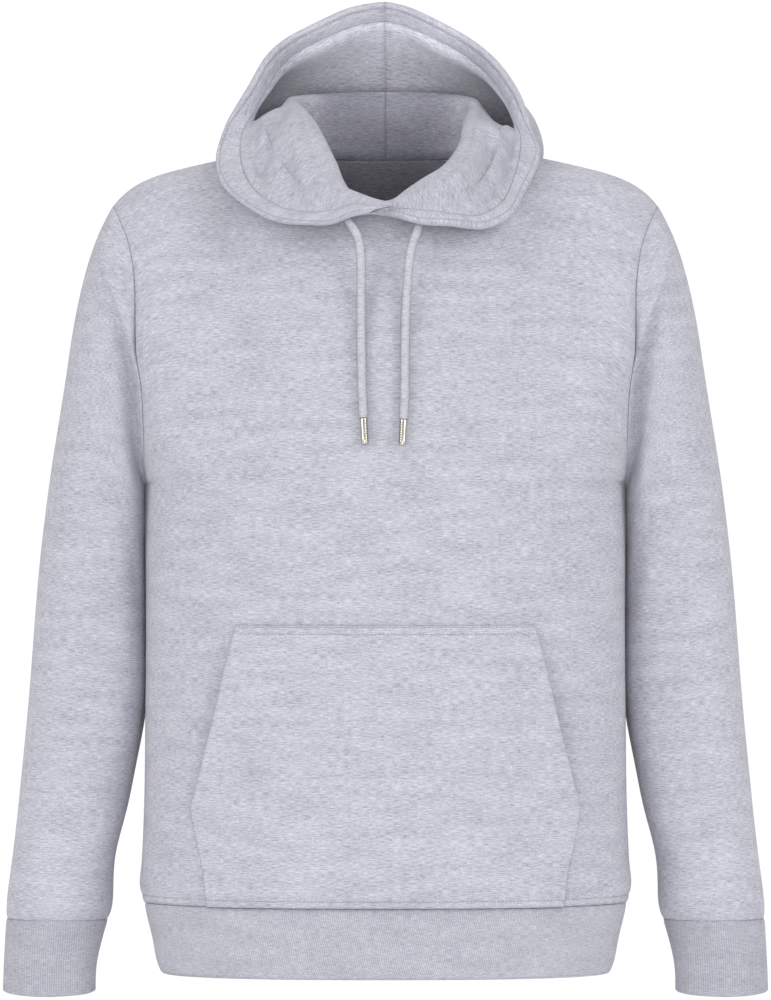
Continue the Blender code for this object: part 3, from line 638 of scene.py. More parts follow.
def make_melange_group():
    """Grey and pale fibres spun together: short streaks along the courses, over slow drifts."""
    tree, given, put = shader_group(
        "melange yarn",
        (("Cloth", "NodeSocketVector", None),
         ("Dark yarn", "NodeSocketColor", (0.4, 0.4, 0.46, 1)),
         ("Pale yarn", "NodeSocketColor", (0.7, 0.7, 0.78, 1)),
         ("Streak", "NodeSocketFloat", 1.0)),
        (("Colour", "NodeSocketColor"), ("Relief", "NodeSocketFloat")))
    place = given.outputs["Cloth"]
    streak = stretched_noise(tree, place, 0.0068, 0.00088, 3.0, 0.62, 3.1)
    fibre = stretched_noise(tree, place, 0.0023, 0.0006, 2.0, 0.7, 11.7)
    drift = stretched_noise(tree, place, 0.045, 0.010, 1.0, 0.5, 23.0)
    drawn = maths(tree, "SUBTRACT", streak, 0.5)
    fine = maths(tree, "SUBTRACT", fibre, 0.5)
    slow = maths(tree, "SUBTRACT", drift, 0.5)
    mixed = maths(tree, "MULTIPLY_ADD", drawn, 1.5, 0.5)
    mixed = maths(tree, "MULTIPLY_ADD", fine, 0.85, mixed)
    mixed = maths(tree, "MULTIPLY_ADD", slow, 0.35, mixed)
    spread = maths(tree, "SUBTRACT", mixed, 0.5)
    share = maths(tree, "MULTIPLY_ADD", spread, given.outputs["Streak"], 0.5, clamp=True)
    blend = tree.nodes.new("ShaderNodeMix")
    blend.data_type = "RGBA"
    tree.links.new(share, blend.inputs["Factor"])
    tree.links.new(given.outputs["Dark yarn"], blend.inputs["A"])
    tree.links.new(given.outputs["Pale yarn"], blend.inputs["B"])
    tree.links.new(blend.outputs["Result"], put.inputs["Colour"])
    tree.links.new(mixed, put.inputs["Relief"])
    return tree


def make_rib_group():
    """The upright ridges of a 1x1 rib: the height, and how far down in a furrow a spot is."""
    tree, given, put = shader_group(
        "one by one rib",
        (("Cloth", "NodeSocketVector", None), ("Pitch", "NodeSocketFloat", 0.00155)),
        (("Height", "NodeSocketFloat"), ("Furrow", "NodeSocketFloat")))
    parts = tree.nodes.new("ShaderNodeSeparateXYZ")
    tree.links.new(given.outputs["Cloth"], parts.inputs[0])
    count = maths(tree, "DIVIDE", parts.outputs["X"], given.outputs["Pitch"])
    wave = maths(tree, "COSINE", maths(tree, "MULTIPLY", count, 2 * np.pi))
    height = maths(tree, "MULTIPLY_ADD", wave, 0.5, 0.5)
    tree.links.new(height, put.inputs["Height"])
    tree.links.new(maths(tree, "SUBTRACT", 1.0, height), put.inputs["Furrow"])
    return tree


def cloth_coordinates(tree):
    laid = tree.nodes.new("ShaderNodeUVMap")
    laid.uv_map = "cloth"
    return laid.outputs["UV"]


def make_place_group(name, limits):
    """A mask by place in the garment, in metres: each limit names an axis, where the mask is clear
    and where it is full. "side" is the distance from the middle."""
    tree, _, put = shader_group(name, (), (("Depth", "NodeSocketFloat"),))
    place = tree.nodes.new("ShaderNodeTexCoord")
    parts = tree.nodes.new("ShaderNodeSeparateXYZ")
    tree.links.new(place.outputs["Object"], parts.inputs[0])
    depth = 1.0
    for axis, clear, full in limits:
        step = tree.nodes.new("ShaderNodeMapRange")
        step.interpolation_type = "SMOOTHSTEP"
        value = parts.outputs["X" if axis == "side" else axis]
        value = maths(tree, "ABSOLUTE", value) if axis == "side" else value
        tree.links.new(value, step.inputs["Value"])
        step.inputs["From Min"].default_value = clear
        step.inputs["From Max"].default_value = full
        depth = maths(tree, "MULTIPLY", step.outputs[0], depth)
    tree.links.new(depth, put.inputs["Depth"])
    return tree


CLOTH_SURFACE = (
    ("Roughness", 0.95), ("Specular IOR Level", 0.12),
    ("Sheen Weight", 0.18), ("Sheen Roughness", 0.6),
)
# The rib's furrows are darkened by this share and tint: painted shade.
FURROW_SHADE = 0.72
FURROW_SHADE_TINT = (0.55, 0.55, 0.58, 1)
# How much bluer than grey the painted shade deep in the neck is.
PAINTED_SHADE_BLUENESS = 1.03


def fabric(name, dark, pale, streak, nap, rib_depth=0.0, painted_neck_shade=None):
    """Brushed melange cloth; a rib_depth above nothing adds the ridges of a rib, with painted shade
    in its furrows, and the last argument is how much colour is left where shade is painted deep in
    the neck."""
    made, tree, shader = new_material(name)
    for label, value in CLOTH_SURFACE:
        shader.inputs[label].default_value = value
    place = cloth_coordinates(tree)
    yarn = use_group(tree, melange_group)
    tree.links.new(place, yarn.inputs["Cloth"])
    for label, value in (("Dark yarn", dark), ("Pale yarn", pale), ("Streak", streak)):
        yarn.inputs[label].default_value = value
    colour = yarn.outputs["Colour"]
    normal = bumped(tree, yarn.outputs["Relief"], nap)
    if rib_depth:
        ribs = use_group(tree, rib_group)
        tree.links.new(place, ribs.inputs["Cloth"])
        ribs.inputs["Pitch"].default_value = RIB_PITCH * MM
        normal = bumped(tree, ribs.outputs["Height"], rib_depth, normal)
        # Painted shade in the rib's furrows.
        shade = maths(tree, "MULTIPLY", ribs.outputs["Furrow"], FURROW_SHADE)
        colour = tinted(tree, colour, FURROW_SHADE_TINT, shade)
    # Painted shade: deep in the neck's hollow the colour is darkened, standing for the shade that
    # falls there.
    if painted_neck_shade:
        hollow = use_group(tree, painted_shade_mask)
        painted_shade_tint = (painted_neck_shade, painted_neck_shade, painted_neck_shade * PAINTED_SHADE_BLUENESS, 1)
        colour = tinted(tree, colour, painted_shade_tint, hollow.outputs["Depth"])
    tree.links.new(colour, shader.inputs["Base Color"])
    tree.links.new(normal, shader.inputs["Normal"])
    return made


melange_group = make_melange_group()
rib_group = make_rib_group()
# The neck's hollow, where shade is painted into the inner fleece and into the hood lining's nape.
painted_shade_mask = make_place_group("painted shade in the hollow of the neck", (
    ("Y", 0.045, 0.085), ("Z", 0.063, 0.048), ("Z", -0.13, -0.07), ("side", 0.085, 0.050)))
FLEECE_NAP = 0.00018
RIB_NAP = 0.00012
RIB_RELIEF = 0.0005
DARK_YARN = (0.245, 0.245, 0.295, 1)
PALE_YARN = (0.60, 0.60, 0.67, 1)
fleece = fabric("brushed melange fleece", DARK_YARN, PALE_YARN, 1.0, FLEECE_NAP)
# The inner side is the same fleece, with painted shade deep in the neck.
shaded_inner_fleece = fabric("inner side of the fleece with painted shade", DARK_YARN, PALE_YARN, 1.0,
                      FLEECE_NAP, painted_neck_shade=0.33)
# The lining has the shell fleece's yarns made a little darker, as painted shade, and painted shade
# deep in the neck.
shaded_lining_fleece = fabric("hood lining fleece with painted shade", (0.23, 0.23, 0.278, 1), (0.575, 0.575, 0.645, 1), 1.0,
                       FLEECE_NAP, painted_neck_shade=0.45)
sewing_thread = fabric("sewing thread", (0.22, 0.22, 0.26, 1), (0.36, 0.36, 0.41, 1), 0.6, 0.00002)
rib_knit = fabric("melange rib knit", (0.34, 0.34, 0.40, 1), (0.73, 0.73, 0.80, 1), 0.9,
                  RIB_NAP, RIB_RELIEF)
# The cuff rib is the hem rib's yarn made darker: painted shade.
shaded_cuff_knit = fabric("melange cuff knit with painted shade", (0.31, 0.31, 0.37, 1), (0.675, 0.675, 0.745, 1), 0.9,
                   RIB_NAP, RIB_RELIEF)


# ---------------------------------------------------------------- body

SHOULDER_CELLS = 34
FRONT_NECK_CELLS = 84
BACK_NECK_CELLS = 70
ARMHOLE_CELLS = 64
LOWER_CELLS = 96
EASE_ROWS = 14
EASE_PASSES = 60

SHOULDER_SHARES = crowded(SHOULDER_CELLS, low_end=False)
ARMHOLE_SHARES = crowded(ARMHOLE_CELLS, low_end=False)


def neckline(angle):
    """The neckline's outer edge; 0 is the front middle, 90 the left shoulder, 180 the back."""
    turn = np.radians(angle)
    forward = np.cos(turn)
    in_front = forward > 0
    reach = np.where(in_front, NECK_FRONT_REACH, NECK_BACK_REACH)
    drop = np.where(in_front, NECK_FRONT_DROP, NECK_BACK_DROP)
    depth = np.abs(forward) ** np.where(in_front, 1.7, 1.3)
    x = -NECK_HALF_WIDTH * np.sin(turn)
    rise = np.where(in_front, THROAT_RISE * bell(x, THROAT_RISE_WIDTH), 0)
    return np.stack([x, -reach * forward, rise - drop * depth], axis=-1)


def shoulder(share):
    """The shoulder seam on the right side, from the neck, 0, to the shoulder tip, 1."""
    share = np.asarray(share, float)
    width = NECK_HALF_WIDTH + (TIP_HALF_WIDTH - NECK_HALF_WIDTH) * share
    drop = SHOULDER_SLOPE * share + SHOULDER_ROUNDING * share ** 8
    return np.stack([width, 0 * share, -drop], axis=-1)


def armhole(turn):
    """The right armhole; 0 is the shoulder tip, pi the underarm, and the front lies between."""
    turn = np.asarray(turn, float)
    tip = shoulder(1.0)
    underarm = np.array([UNDERARM_HALF_WIDTH, SIDE_SEAM_Y, UNDERARM_Z])
    share = ((1 - np.cos(turn)) / 2)[..., None]
    line = tip * (1 - share) + underarm * share
    side = np.sin(turn)
    bulge = np.where(side > 0, ARMHOLE_FRONT_BULGE, ARMHOLE_BACK_BULGE) * side
    drawn_in = through(column(FRONT_ARMHOLE, "z"), column(FRONT_ARMHOLE, "inward"), line[..., 2])
    inset = ARMHOLE_INSET * side ** 2 + np.where(side > 0, drawn_in, 0)
    return line + np.stack([-inset, -bulge, 0 * side], axis=-1)


def armhole_inward(turn, side):
    """Which way a wall's thickness goes at the right armhole; side is 1 for the sleeve's wall."""
    ahead = armhole(turn + 0.01) - armhole(turn - 0.01)
    plane_normal = np.array([1.0, 0.0, 0.0])
    radial = unit(np.cross(plane_normal, ahead))
    lean = 0.15 + 0.85 * ((1 - np.cos(turn)) / 2) ** 6
    return unit(radial + lean[..., None] * side * plane_normal)


def top_edge(front):
    """The panel's top edge from the left shoulder tip across the neckline to the right one."""
    seam = shoulder(1 - (1 - SHOULDER_SHARES) ** 1.5)
    mirrored = seam[::-1] * (-1, 1, 1)
    if front:
        neck = neckline(np.linspace(90, -90, FRONT_NECK_CELLS + 1))
    else:
        neck = neckline(np.linspace(90, 270, BACK_NECK_CELLS + 1))
    return np.concatenate([mirrored, neck[1:-1], seam])


def body_section(z, across, front):
    """Points round half the body at one height; across runs from -1, the left side, to 1."""
    half_width, forward, backward = through(
        column(BODY, "z"), column(BODY, "half_width", "front", "back"), z)
    turn = across * np.pi / 2
    if front:
        power = 2 / BODY_SQUARENESS_FRONT
        y = SIDE_SEAM_Y - (forward + SIDE_SEAM_Y) * np.abs(np.cos(turn)) ** power
    else:
        power = 2 / BODY_SQUARENESS_BACK
        y = SIDE_SEAM_Y + (backward - SIDE_SEAM_Y) * np.abs(np.cos(turn)) ** power
    x = half_width * np.sign(turn) * np.abs(np.sin(turn)) ** power
    return np.stack([x, y, np.full_like(x, z)], axis=-1)


def body_columns(front):
    cells = FRONT_NECK_CELLS if front else BACK_NECK_CELLS
    middle = np.linspace(-NECK_SHARE, NECK_SHARE, cells + 1)
    side = NECK_SHARE + (1 - NECK_SHARE) * SHOULDER_SHARES[1:]
    return np.concatenate([-side[::-1], middle, side])


def body_form(front):
    """The outer surface of the front or back panel, rows from the hem seam up."""
    across = body_columns(front)
    heights = BODY[0].z + (BODY[-1].z - BODY[0].z) * crowded(LOWER_CELLS, high_end=False, pull=0.78)
    lower = np.array([body_section(z, across, front) for z in heights])
    chest = lower[-1]
    top = top_edge(front)
    in_neck = (np.abs(top[:, 0]) < NECK_HALF_WIDTH - 0.1)[:, None]
    facing = 1.0 if front else -1.0
    rise = np.array([0, 0, CHEST_RISE if front else BACK_RISE])
    over = np.array([0, facing * (SHOULDER_ROLL_FRONT if front else SHOULDER_ROLL_BACK), 0])
    collar = np.array([0, facing * 0.45, 1.0 if front else 0.25])
    depth = np.abs(top[:, 1:2]) / NECK_FRONT_REACH
    neck_leave = over * (1 - ease(depth)) + collar * NECK_ROLL * ease(depth)
    leave = np.where(in_neck, neck_leave, over)
    by_neck = np.abs(top[:, 0]) < NECK_HALF_WIDTH + 0.1
    flare = (top[by_neck, 0] / NECK_HALF_WIDTH) ** 2
    leave[by_neck, 0] = -NECK_FLARE * np.sign(top[by_neck, 0]) * flare
    pull = ease((np.abs(across) - 0.25) / 0.75)[:, None] ** 1.4
    upper = []
    for even in ARMHOLE_SHARES[1:]:
        turned = (1 - np.cos(np.pi * even)) / 2
        part = (even + turned) / 2
        row = (
            (1 + 2 * part) * (1 - part) ** 2 * chest + part * (1 - part) ** 2 * rise
            + part ** 2 * (3 - 2 * part) * top + part ** 2 * (part - 1) * leave
        )
        turn = np.pi * (1 - even)
        edge = armhole(turn if front else -turn)
        left_shift = edge * (-1, 1, 1) - row[0]
        right_shift = edge - row[-1]
        row = row + pull * np.where(across[:, None] < 0, left_shift, right_shift)
        upper.append(row)
    points = np.concatenate([lower, np.array(upper)])
    return eased_across(points)


def eased_across(points):
    """Evens each row across the body, less and less towards the top edge and the sides."""
    rows = len(points)
    fade = ease((rows - 1 - np.arange(rows)) / EASE_ROWS)[:, None, None]
    place = np.linspace(-1, 1, points.shape[1])
    sides = ease((1 - np.abs(place)) / 0.12)[None, :, None]
    eased = points.copy()
    for _ in range(EASE_PASSES):
        mixed = eased.copy()
        mixed[:, 1:-1] = eased[:, 1:-1] / 2 + (eased[:, :-2] + eased[:, 2:]) / 4
        eased = eased + (mixed - eased) * fade * sides
    return eased


def body_inward(points, front):
    """Which way the wall's thickness goes, square to the surface but along the seams."""
    inward = grid_normals(points) * (-1 if front else 1)
    lower = LOWER_CELLS + 1
    top = points[-1]
    in_neck = np.abs(top[:, 0]) < NECK_HALF_WIDTH - 0.1
    inward[0, :, 2] = 0
    inward[:lower, 0] = (1, 0, 0)
    inward[:lower, -1] = (-1, 0, 0)
    seam = np.gradient(top, axis=0)
    flat = ~in_neck
    inward[-1, flat] = np.stack([seam[flat, 2], 0 * seam[flat, 2], -seam[flat, 0]], axis=-1)
    turn = np.pi * (1 - ARMHOLE_SHARES) * (1 if front else -1)
    into = armhole_inward(turn, -1.0)
    inward[lower - 1:, -1] = into
    inward[lower - 1:, 0] = into * (-1, 1, 1)
    return unit(inward)


def part_at_side_seams(points, facing):
    """Half a seam's gap between front and back, at the side and shoulder seams."""
    moved = points.copy()
    lower = LOWER_CELLS + 1
    moved[:lower, 0, 1] += facing * SEAM_GAP / 2
    moved[:lower, -1, 1] += facing * SEAM_GAP / 2
    moved[-1, : SHOULDER_CELLS + 1, 1] += facing * SEAM_GAP / 2
    moved[-1, -SHOULDER_CELLS - 1:, 1] += facing * SEAM_GAP / 2
    return moved


def panel_run(points):
    """Where each point lies on the cut panel: out from the middle, and up from the hem."""
    middle = points.shape[1] // 2
    level = points.copy()
    level[..., 2] = 0
    out = run_along(level, 1)
    out -= out[:, middle:middle + 1]
    upright = points.copy()
    upright[..., 0] = 0
    up = run_along(upright, 0)
    return np.stack([out, up], axis=-1)


# The panels' soft folds, in millimetres across and up; a depth below nothing is a ridge.
Fold = namedtuple("Fold", "from_across from_up to_across to_up depth width")
FRONT_FOLDS = table(
    Fold,
    (-196, -205, -150, -262, 1.8, 11),
    (-200, -262, -138, -330, 2.2, 15),
    (198, -214, 146, -286, 2.0, 12),
    (201, -275, 132, -352, 1.8, 17),
    (-178, -92, -128, -150, 1.2, 14),
    (182, -96, 118, -168, 1.3, 16),
    (-92, -88, -52, -128, 1.4, 13),
    (84, -90, 60, -150, 1.2, 12),
    (-188, -430, -172, -600, 1.6, 13),
    (187, -455, 176, -612, 1.9, 12),
    (-60, -300, 40, -322, -1.1, 26),
    (30, -355, 110, -340, 1.0, 20),
    (-132, -430, -163, -560, 4.0, 6.5),
    (132, -430, 163, -560, 4.0, 6.5),
)
BACK_FOLDS = table(
    Fold,
    (-192, -190, -140, -262, 2.0, 13),
    (-198, -250, -128, -340, 2.4, 17),
    (190, -200, 148, -250, 1.7, 12),
    (199, -262, 118, -352, 2.3, 16),
    (-96, -60, -40, -96, 1.4, 15),
    (60, -64, 112, -110, 1.3, 16),
    (-70, -420, 64, -446, 1.5, 22),
    (-118, -520, -20, -500, 1.3, 19),
    (24, -548, 142, -570, 1.7, 21),
    (-176, -470, -160, -612, 1.6, 14),
    (182, -440, 168, -596, 1.8, 13),
)
PANEL_FOLD_FADE = 18.0
UNDERARM_CALM = 60.0
HEM_STITCH = 6.6
GROOVE_WIDTH = 1.4
GROOVE_DEPTH = 0.85


def make_body():
    made = []
    for name, front in (("front_panel", True), ("back_panel", False)):
        points = body_form(front)
        inward = body_inward(points, front)
        cloth_run = panel_run(points)
        facing = -1.0 if front else 1.0
        left, right = from_edges(points, 1)
        bottom, top = from_edges(points, 0)
        edge = np.minimum.reduce([left, right, bottom, top])
        by_armhole = np.where(points[..., 2] > UNDERARM_Z, ARMHOLE_TUCK, 1.0)
        tuck = SEAM_TUCK * np.maximum.reduce([
            by_armhole * bell(np.minimum(left, right), SEAM_TUCK_WIDTH),
            bell(bottom, SEAM_TUCK_WIDTH), bell(top, SEAM_TUCK_WIDTH)])
        tuck = tuck * (1 - bell(points[..., 2] - UNDERARM_Z, UNDERARM_CALM))
        deep = soft_folds(FRONT_FOLDS if front else BACK_FOLDS, points[..., 0], points[..., 2])
        tuck = tuck + deep * ease(edge / PANEL_FOLD_FADE)
        points = points + inward * tuck[..., None]
        groove = GROOVE_DEPTH * bell(bottom - HEM_STITCH, GROOVE_WIDTH)
        outside = part_at_side_seams(points + inward * groove[..., None], facing)
        inside = part_at_side_seams(points + inward * BODY_WALL, facing)
        piece = wall("cloth_" + name, outside, inside, cloth_run, fleece, shaded_inner_fleece)
        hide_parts(name)
        line, up = at_run(outside, -inward, bottom, HEM_STITCH)
        thread = thread_row("stitches_" + name, [(line[1:-1], up[1:-1])])
        made.append((piece, thread))
    return made


# ---------------------------------------------------------------- sleeves and cuffs

SLEEVE_COLUMNS = 192
SLEEVE_ROWS = 176
SLEEVE_SQUARENESS = 2.5
SLEEVE_INNER_SQUARENESS = 3.6
SQUARE_FROM = 4.0
SQUARE_UNTIL = 3

# The right sleeve's soft folds: where round the sleeve, in hundredths of a turn from its outer
# side by way of the front, and the height. Lengths round are put in millimetres by FOLD_ROUND.
FOLD_ROUND = 3.6
SLEEVE_FOLDS = table(
    Fold,
    (30, -300, 40, -392, 1.6, 12),
    (14, -352, 33, -430, 1.9, 13),
    (20, -446, 44, -470, 2.1, 11),
    (10, -486, 38, -516, 1.6, 13),
    (6, -180, 22, -262, 1.3, 14),
    (16, -560, 36, -584, 1.5, 10),
    (26, -612, 42, -604, 1.6, 7),
    (60, -330, 84, -410, 2.0, 14),
    (56, -430, 80, -462, 2.4, 12),
    (62, -492, 90, -520, 1.8, 13),
    (66, -240, 80, -300, 1.6, 15),
    (58, -590, 78, -606, 1.6, 9),
)
SLEEVE_FOLD_FADE = 12.0
# The left sleeve has the right one's folds, started and ended this much lower and less deep.
LEFT_FOLDS_LOWER = (14, 9)
LEFT_FOLDS_DEPTH = 0.85
UNDERARM_SNUG = 3.4
UNDERARM_SNUG_TURN = 0.55
UNDERARM_SNUG_DOWN = 14.0
UNDERARM_SNUG_WIDTH = 34.0

# The pleat in front of the armhole: a crisp edge on the body side, a soft dip on the outer side.
Pleat = namedtuple("Pleat", "z x depth")
ARMHOLE_PLEAT = table(
    Pleat,
    (-300, 203.0, 0.0), (-262, 203.5, 6.0), (-229, 205.0, 12.0), (-198, 208.0, 15.0),
    (-174, 214.0, 14.0), (-147, 223.5, 10.0), (-118, 235.0, 5.0), (-98, 242.0, 0.0),
)
PLEAT_EDGE = 3.5
PLEAT_DIP = 24.0
PLEAT_CREST = 0.15
PLEAT_CREST_WIDTH = 10.0
PLEAT_SEAM_FADE = 4.5
WRIST_WRINKLE = Fold(12, -636, 31, -640, 1.5, 4.5)


def sleeve_ring(ring, turn, squareness=2.0):
    """One ring of the right sleeve; turn 0 is its outer side and the front lies before pi."""
    outer = np.array([ring.outer_x, ring.middle_y, ring.outer_z])
    inner = np.array([ring.inner_x, ring.middle_y, ring.inner_z])
    power = 2 / np.asarray(squareness)
    side = np.sign(np.sin(turn)) * np.abs(np.sin(turn)) ** power
    depth = np.where(side > 0, ring.front, ring.back) * side
    middle = (outer + inner) / 2
    half = (outer - inner) / 2
    points = middle + (np.sign(np.cos(turn)) * np.abs(np.cos(turn)) ** power)[:, None] * half
    points[:, 1] -= depth
    return points


def round_normals(points):
    """Inward normals of a tube's grid, whose columns run once round."""
    padded = np.concatenate([points[:, -1:], points, points[:, :1]], axis=1)
    inward = grid_normals(padded)[:, 1:-1]
    middle = points.mean(axis=1, keepdims=True)
    return -inward if np.sum(inward * (middle - points)) < 0 else inward


def tube_run(points, side=1.0):
    """Where each point lies on the cut cloth: round from the outer side, and up from its end."""
    closed = np.concatenate([points, points[:, :1]], axis=1)
    down, up = from_edges(closed, 0)
    return np.stack([side * run_along(closed, 1), up], axis=-1)


def make_sleeve(name, side):
    turn = np.arange(SLEEVE_COLUMNS) * 2 * np.pi / SLEEVE_COLUMNS
    short_way = np.where(turn > np.pi, turn - 2 * np.pi, turn)
    rings = [armhole(short_way) + (SEAM_GAP, 0, 0)]
    for index, ring in enumerate(SLEEVE):
        full = np.where(np.cos(turn) > 0, SLEEVE_SQUARENESS, SLEEVE_INNER_SQUARENESS)
        to_cuff = len(SLEEVE) - 1 - index
        squareness = 2 + (full - 2) * ease(index / SQUARE_FROM) * ease(to_cuff / SQUARE_UNTIL)
        rings.append(sleeve_ring(ring, turn, squareness))
    points = even_spline(np.array(rings), len(SLEEVE) * crowded(SLEEVE_ROWS))
    inward = round_normals(points)
    inward[0] = armhole_inward(short_way, 1.0)
    inward[-1, :, 2] = 0
    inward = unit(inward)
    cloth_run = tube_run(points, side)
    top, bottom = from_edges(points, 0)
    tuck = SEAM_TUCK * np.maximum(
        ARMHOLE_TUCK * bell(top, SEAM_TUCK_WIDTH), bell(bottom, SEAM_TUCK_WIDTH))
    underarm = bell(turn - np.pi, UNDERARM_SNUG_TURN)[None, :]
    tuck = tuck - UNDERARM_SNUG * underarm * bell(top - UNDERARM_SNUG_DOWN, UNDERARM_SNUG_WIDTH)
    folds = SLEEVE_FOLDS + ((WRIST_WRINKLE,) if side > 0 else ())
    folds = [fold._replace(from_across=fold.from_across * FOLD_ROUND,
                           to_across=fold.to_across * FOLD_ROUND) for fold in folds]
    if side < 0:
        start_lower, end_lower = LEFT_FOLDS_LOWER
        folds = [fold._replace(from_up=fold.from_up - start_lower, to_up=fold.to_up - end_lower,
                               depth=fold.depth * LEFT_FOLDS_DEPTH)
                 for fold in folds[1:]] + folds[:1]
    edge_x, pleat_depth = through(
        column(ARMHOLE_PLEAT, "z"), column(ARMHOLE_PLEAT, "x", "depth"),
        np.clip(points[..., 2], ARMHOLE_PLEAT[0].z, ARMHOLE_PLEAT[-1].z)).transpose(2, 0, 1)
    past = points[..., 0] - edge_x
    dip = ease(past / PLEAT_EDGE + 0.5) * bell(np.maximum(past - PLEAT_EDGE, 0), PLEAT_DIP)
    in_front = ease(np.sin(turn) * 2.5)[None, :]
    crest = PLEAT_CREST * bell(past + PLEAT_CREST_WIDTH / 2, PLEAT_CREST_WIDTH)
    set_back = np.maximum(pleat_depth, 0) * (dip - crest) * in_front * ease(top / PLEAT_SEAM_FADE)
    round_place = np.broadcast_to(turn / (2 * np.pi) * 100 * FOLD_ROUND, points.shape[:2])
    deep = soft_folds(folds, round_place, points[..., 2])
    tuck = tuck + deep * ease(np.minimum(top, bottom) / SLEEVE_FOLD_FADE)
    points = points + inward * tuck[..., None]
    points[..., 1] += set_back
    inside = points + inward * BODY_WALL
    flip = np.array([side, 1, 1])
    piece = tube("cloth_" + name, points * flip, inside * flip, cloth_run, fleece, shaded_inner_fleece)
    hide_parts(name)


CUFF_COLUMNS = 144
CUFF_ROWS = 26
CUFF_TROUGH_TURN = 1.95
CUFF_TROUGH_WIDTH = 0.3
CUFF_TROUGH_DEPTH = 2.2
CUFF_TROUGH_START = 14.0
CUFF_BACK_TROUGH = 0.7
CUFF_BACK_TROUGH_TURN = 2.4
HEM_COLUMNS = 480
HEM_ROWS = 26
FOLD_ROWS = 5


def folded_edge(points, inward, thickness):
    """A rib wall that is one cloth folded double: it closes in a round turn at its free edge."""
    half = thickness / 2
    middle = points + inward * half
    outside = [points[:-1]]
    inside = [(points + inward * thickness)[:-1]]
    end = middle[-1]
    for turn in np.linspace(0, np.pi / 2, FOLD_ROWS):
        reach = np.array([0, 0, half * (1 - np.sin(turn))])
        spread = inward[-1] * half * max(np.cos(turn), 0.12)
        outside.append((end + reach - spread)[None])
        inside.append((end + reach + spread)[None])
    return np.concatenate(outside), np.concatenate(inside)


def make_cuff(name, side):
    turn = np.arange(CUFF_COLUMNS) * 2 * np.pi / CUFF_COLUMNS
    rings = []
    for index, level in enumerate(CUFF):
        ring = SleeveRing(level.outer_x, level.z, level.inner_x, level.z, level.front, level.back,
                          CUFF_MIDDLE_Y)
        points = sleeve_ring(ring, turn)
        if index == len(CUFF) - 1:
            points[:, 2] -= CUFF_FRONT_DIP * np.sin(turn)
        rings.append(points)
    points = even_spline(np.array(rings), (len(CUFF) - 1) * crowded(CUFF_ROWS, high_end=False))
    inward = unit((points.mean(axis=1, keepdims=True) - points) * (1, 1, 0))
    top = run_along(points, 0)
    from_trough = turn - CUFF_TROUGH_TURN
    trough = CUFF_TROUGH_DEPTH * (
        bell(from_trough, CUFF_TROUGH_WIDTH)
        + CUFF_BACK_TROUGH * bell(from_trough - CUFF_BACK_TROUGH_TURN, CUFF_TROUGH_WIDTH))
    tuck = SEAM_TUCK * bell(top, SEAM_TUCK_WIDTH) + trough * ease(top / CUFF_TROUGH_START)
    points = points + inward * tuck[..., None]
    outside, inside = folded_edge(points, inward, RIB_WALL + RIB_HEIGHT)
    flip = np.array([side, 1, 1])
    cloth_run = tube_run(outside, side)
    piece = tube("cloth_" + name, outside * flip, inside * flip, cloth_run, shaded_cuff_knit)
    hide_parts(name)


def make_hem():
    turn = np.arange(HEM_COLUMNS) * 2 * np.pi / HEM_COLUMNS
    side = np.cos(turn)
    ahead = np.sin(turn)
    rings = []
    for level in HEM:
        power = 2 / np.where(ahead > 0, level.front_squareness, level.back_squareness)
        reach = np.where(ahead > 0, level.front + SIDE_SEAM_Y, level.back - SIDE_SEAM_Y)
        x = level.half_width * np.sign(side) * np.abs(side) ** power
        y = SIDE_SEAM_Y - reach * np.sign(ahead) * np.abs(ahead) ** power
        rings.append(np.stack([x, y, np.full_like(x, level.z)], axis=-1))
    points = even_spline(np.array(rings), (len(HEM) - 1) * crowded(HEM_ROWS, high_end=False))
    inward = unit(round_normals(points) * (1, 1, 0))
    top = run_along(points, 0)
    points = points + inward * (SEAM_TUCK * bell(top, SEAM_TUCK_WIDTH))[..., None]
    outside, inside = folded_edge(points, inward, RIB_WALL + RIB_HEIGHT)
    piece = tube("cloth_hem_rib", outside, inside, tube_run(outside), rib_knit)
    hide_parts("hem_rib")


# ---------------------------------------------------------------- pocket

POCKET_CELLS_ACROSS = 116
POCKET_CELLS_UP = 100
POCKET_TOP_STITCHES = (1.4, 7.2)
POCKET_HEM_STITCH = 6.4
POCKET_EDGE_STITCH = 0.7
SLIT_FOOT_Z = -556.0
POCKET_LEAST_LIFT = 1.2
POCKET_MIDDLE_LIFT = 0.35
POCKET_FOLD_FADE = 14.0
POCKET_FOLD_CLEAR = 1.4
POCKET_EDGE_WALL = 0.35
POCKET_EDGE_ROUND = 1.6
POCKET_GROOVE_WIDTH = GROOVE_WIDTH * 0.8
POCKET_FOLDS = table(
    Fold,
    (-120, -468, -126, -628, 3.4, 13),
    (121, -462, 124, -630, 3.6, 12),
    (-84, -560, -60, -632, 1.2, 16),
    (70, -545, 88, -628, 1.4, 15),
    (-40, -440, 48, -452, -1.2, 24),
)


def front_surface(x, z):
    """The front panel's outer surface below the chest."""
    half_width, forward = through(column(BODY, "z"), column(BODY, "half_width", "front"), z)
    share = np.clip(np.abs(x) / half_width, 0, 1) ** BODY_SQUARENESS_FRONT
    return SIDE_SEAM_Y - (forward + SIDE_SEAM_Y) * (1 - share) ** (1 / BODY_SQUARENESS_FRONT)


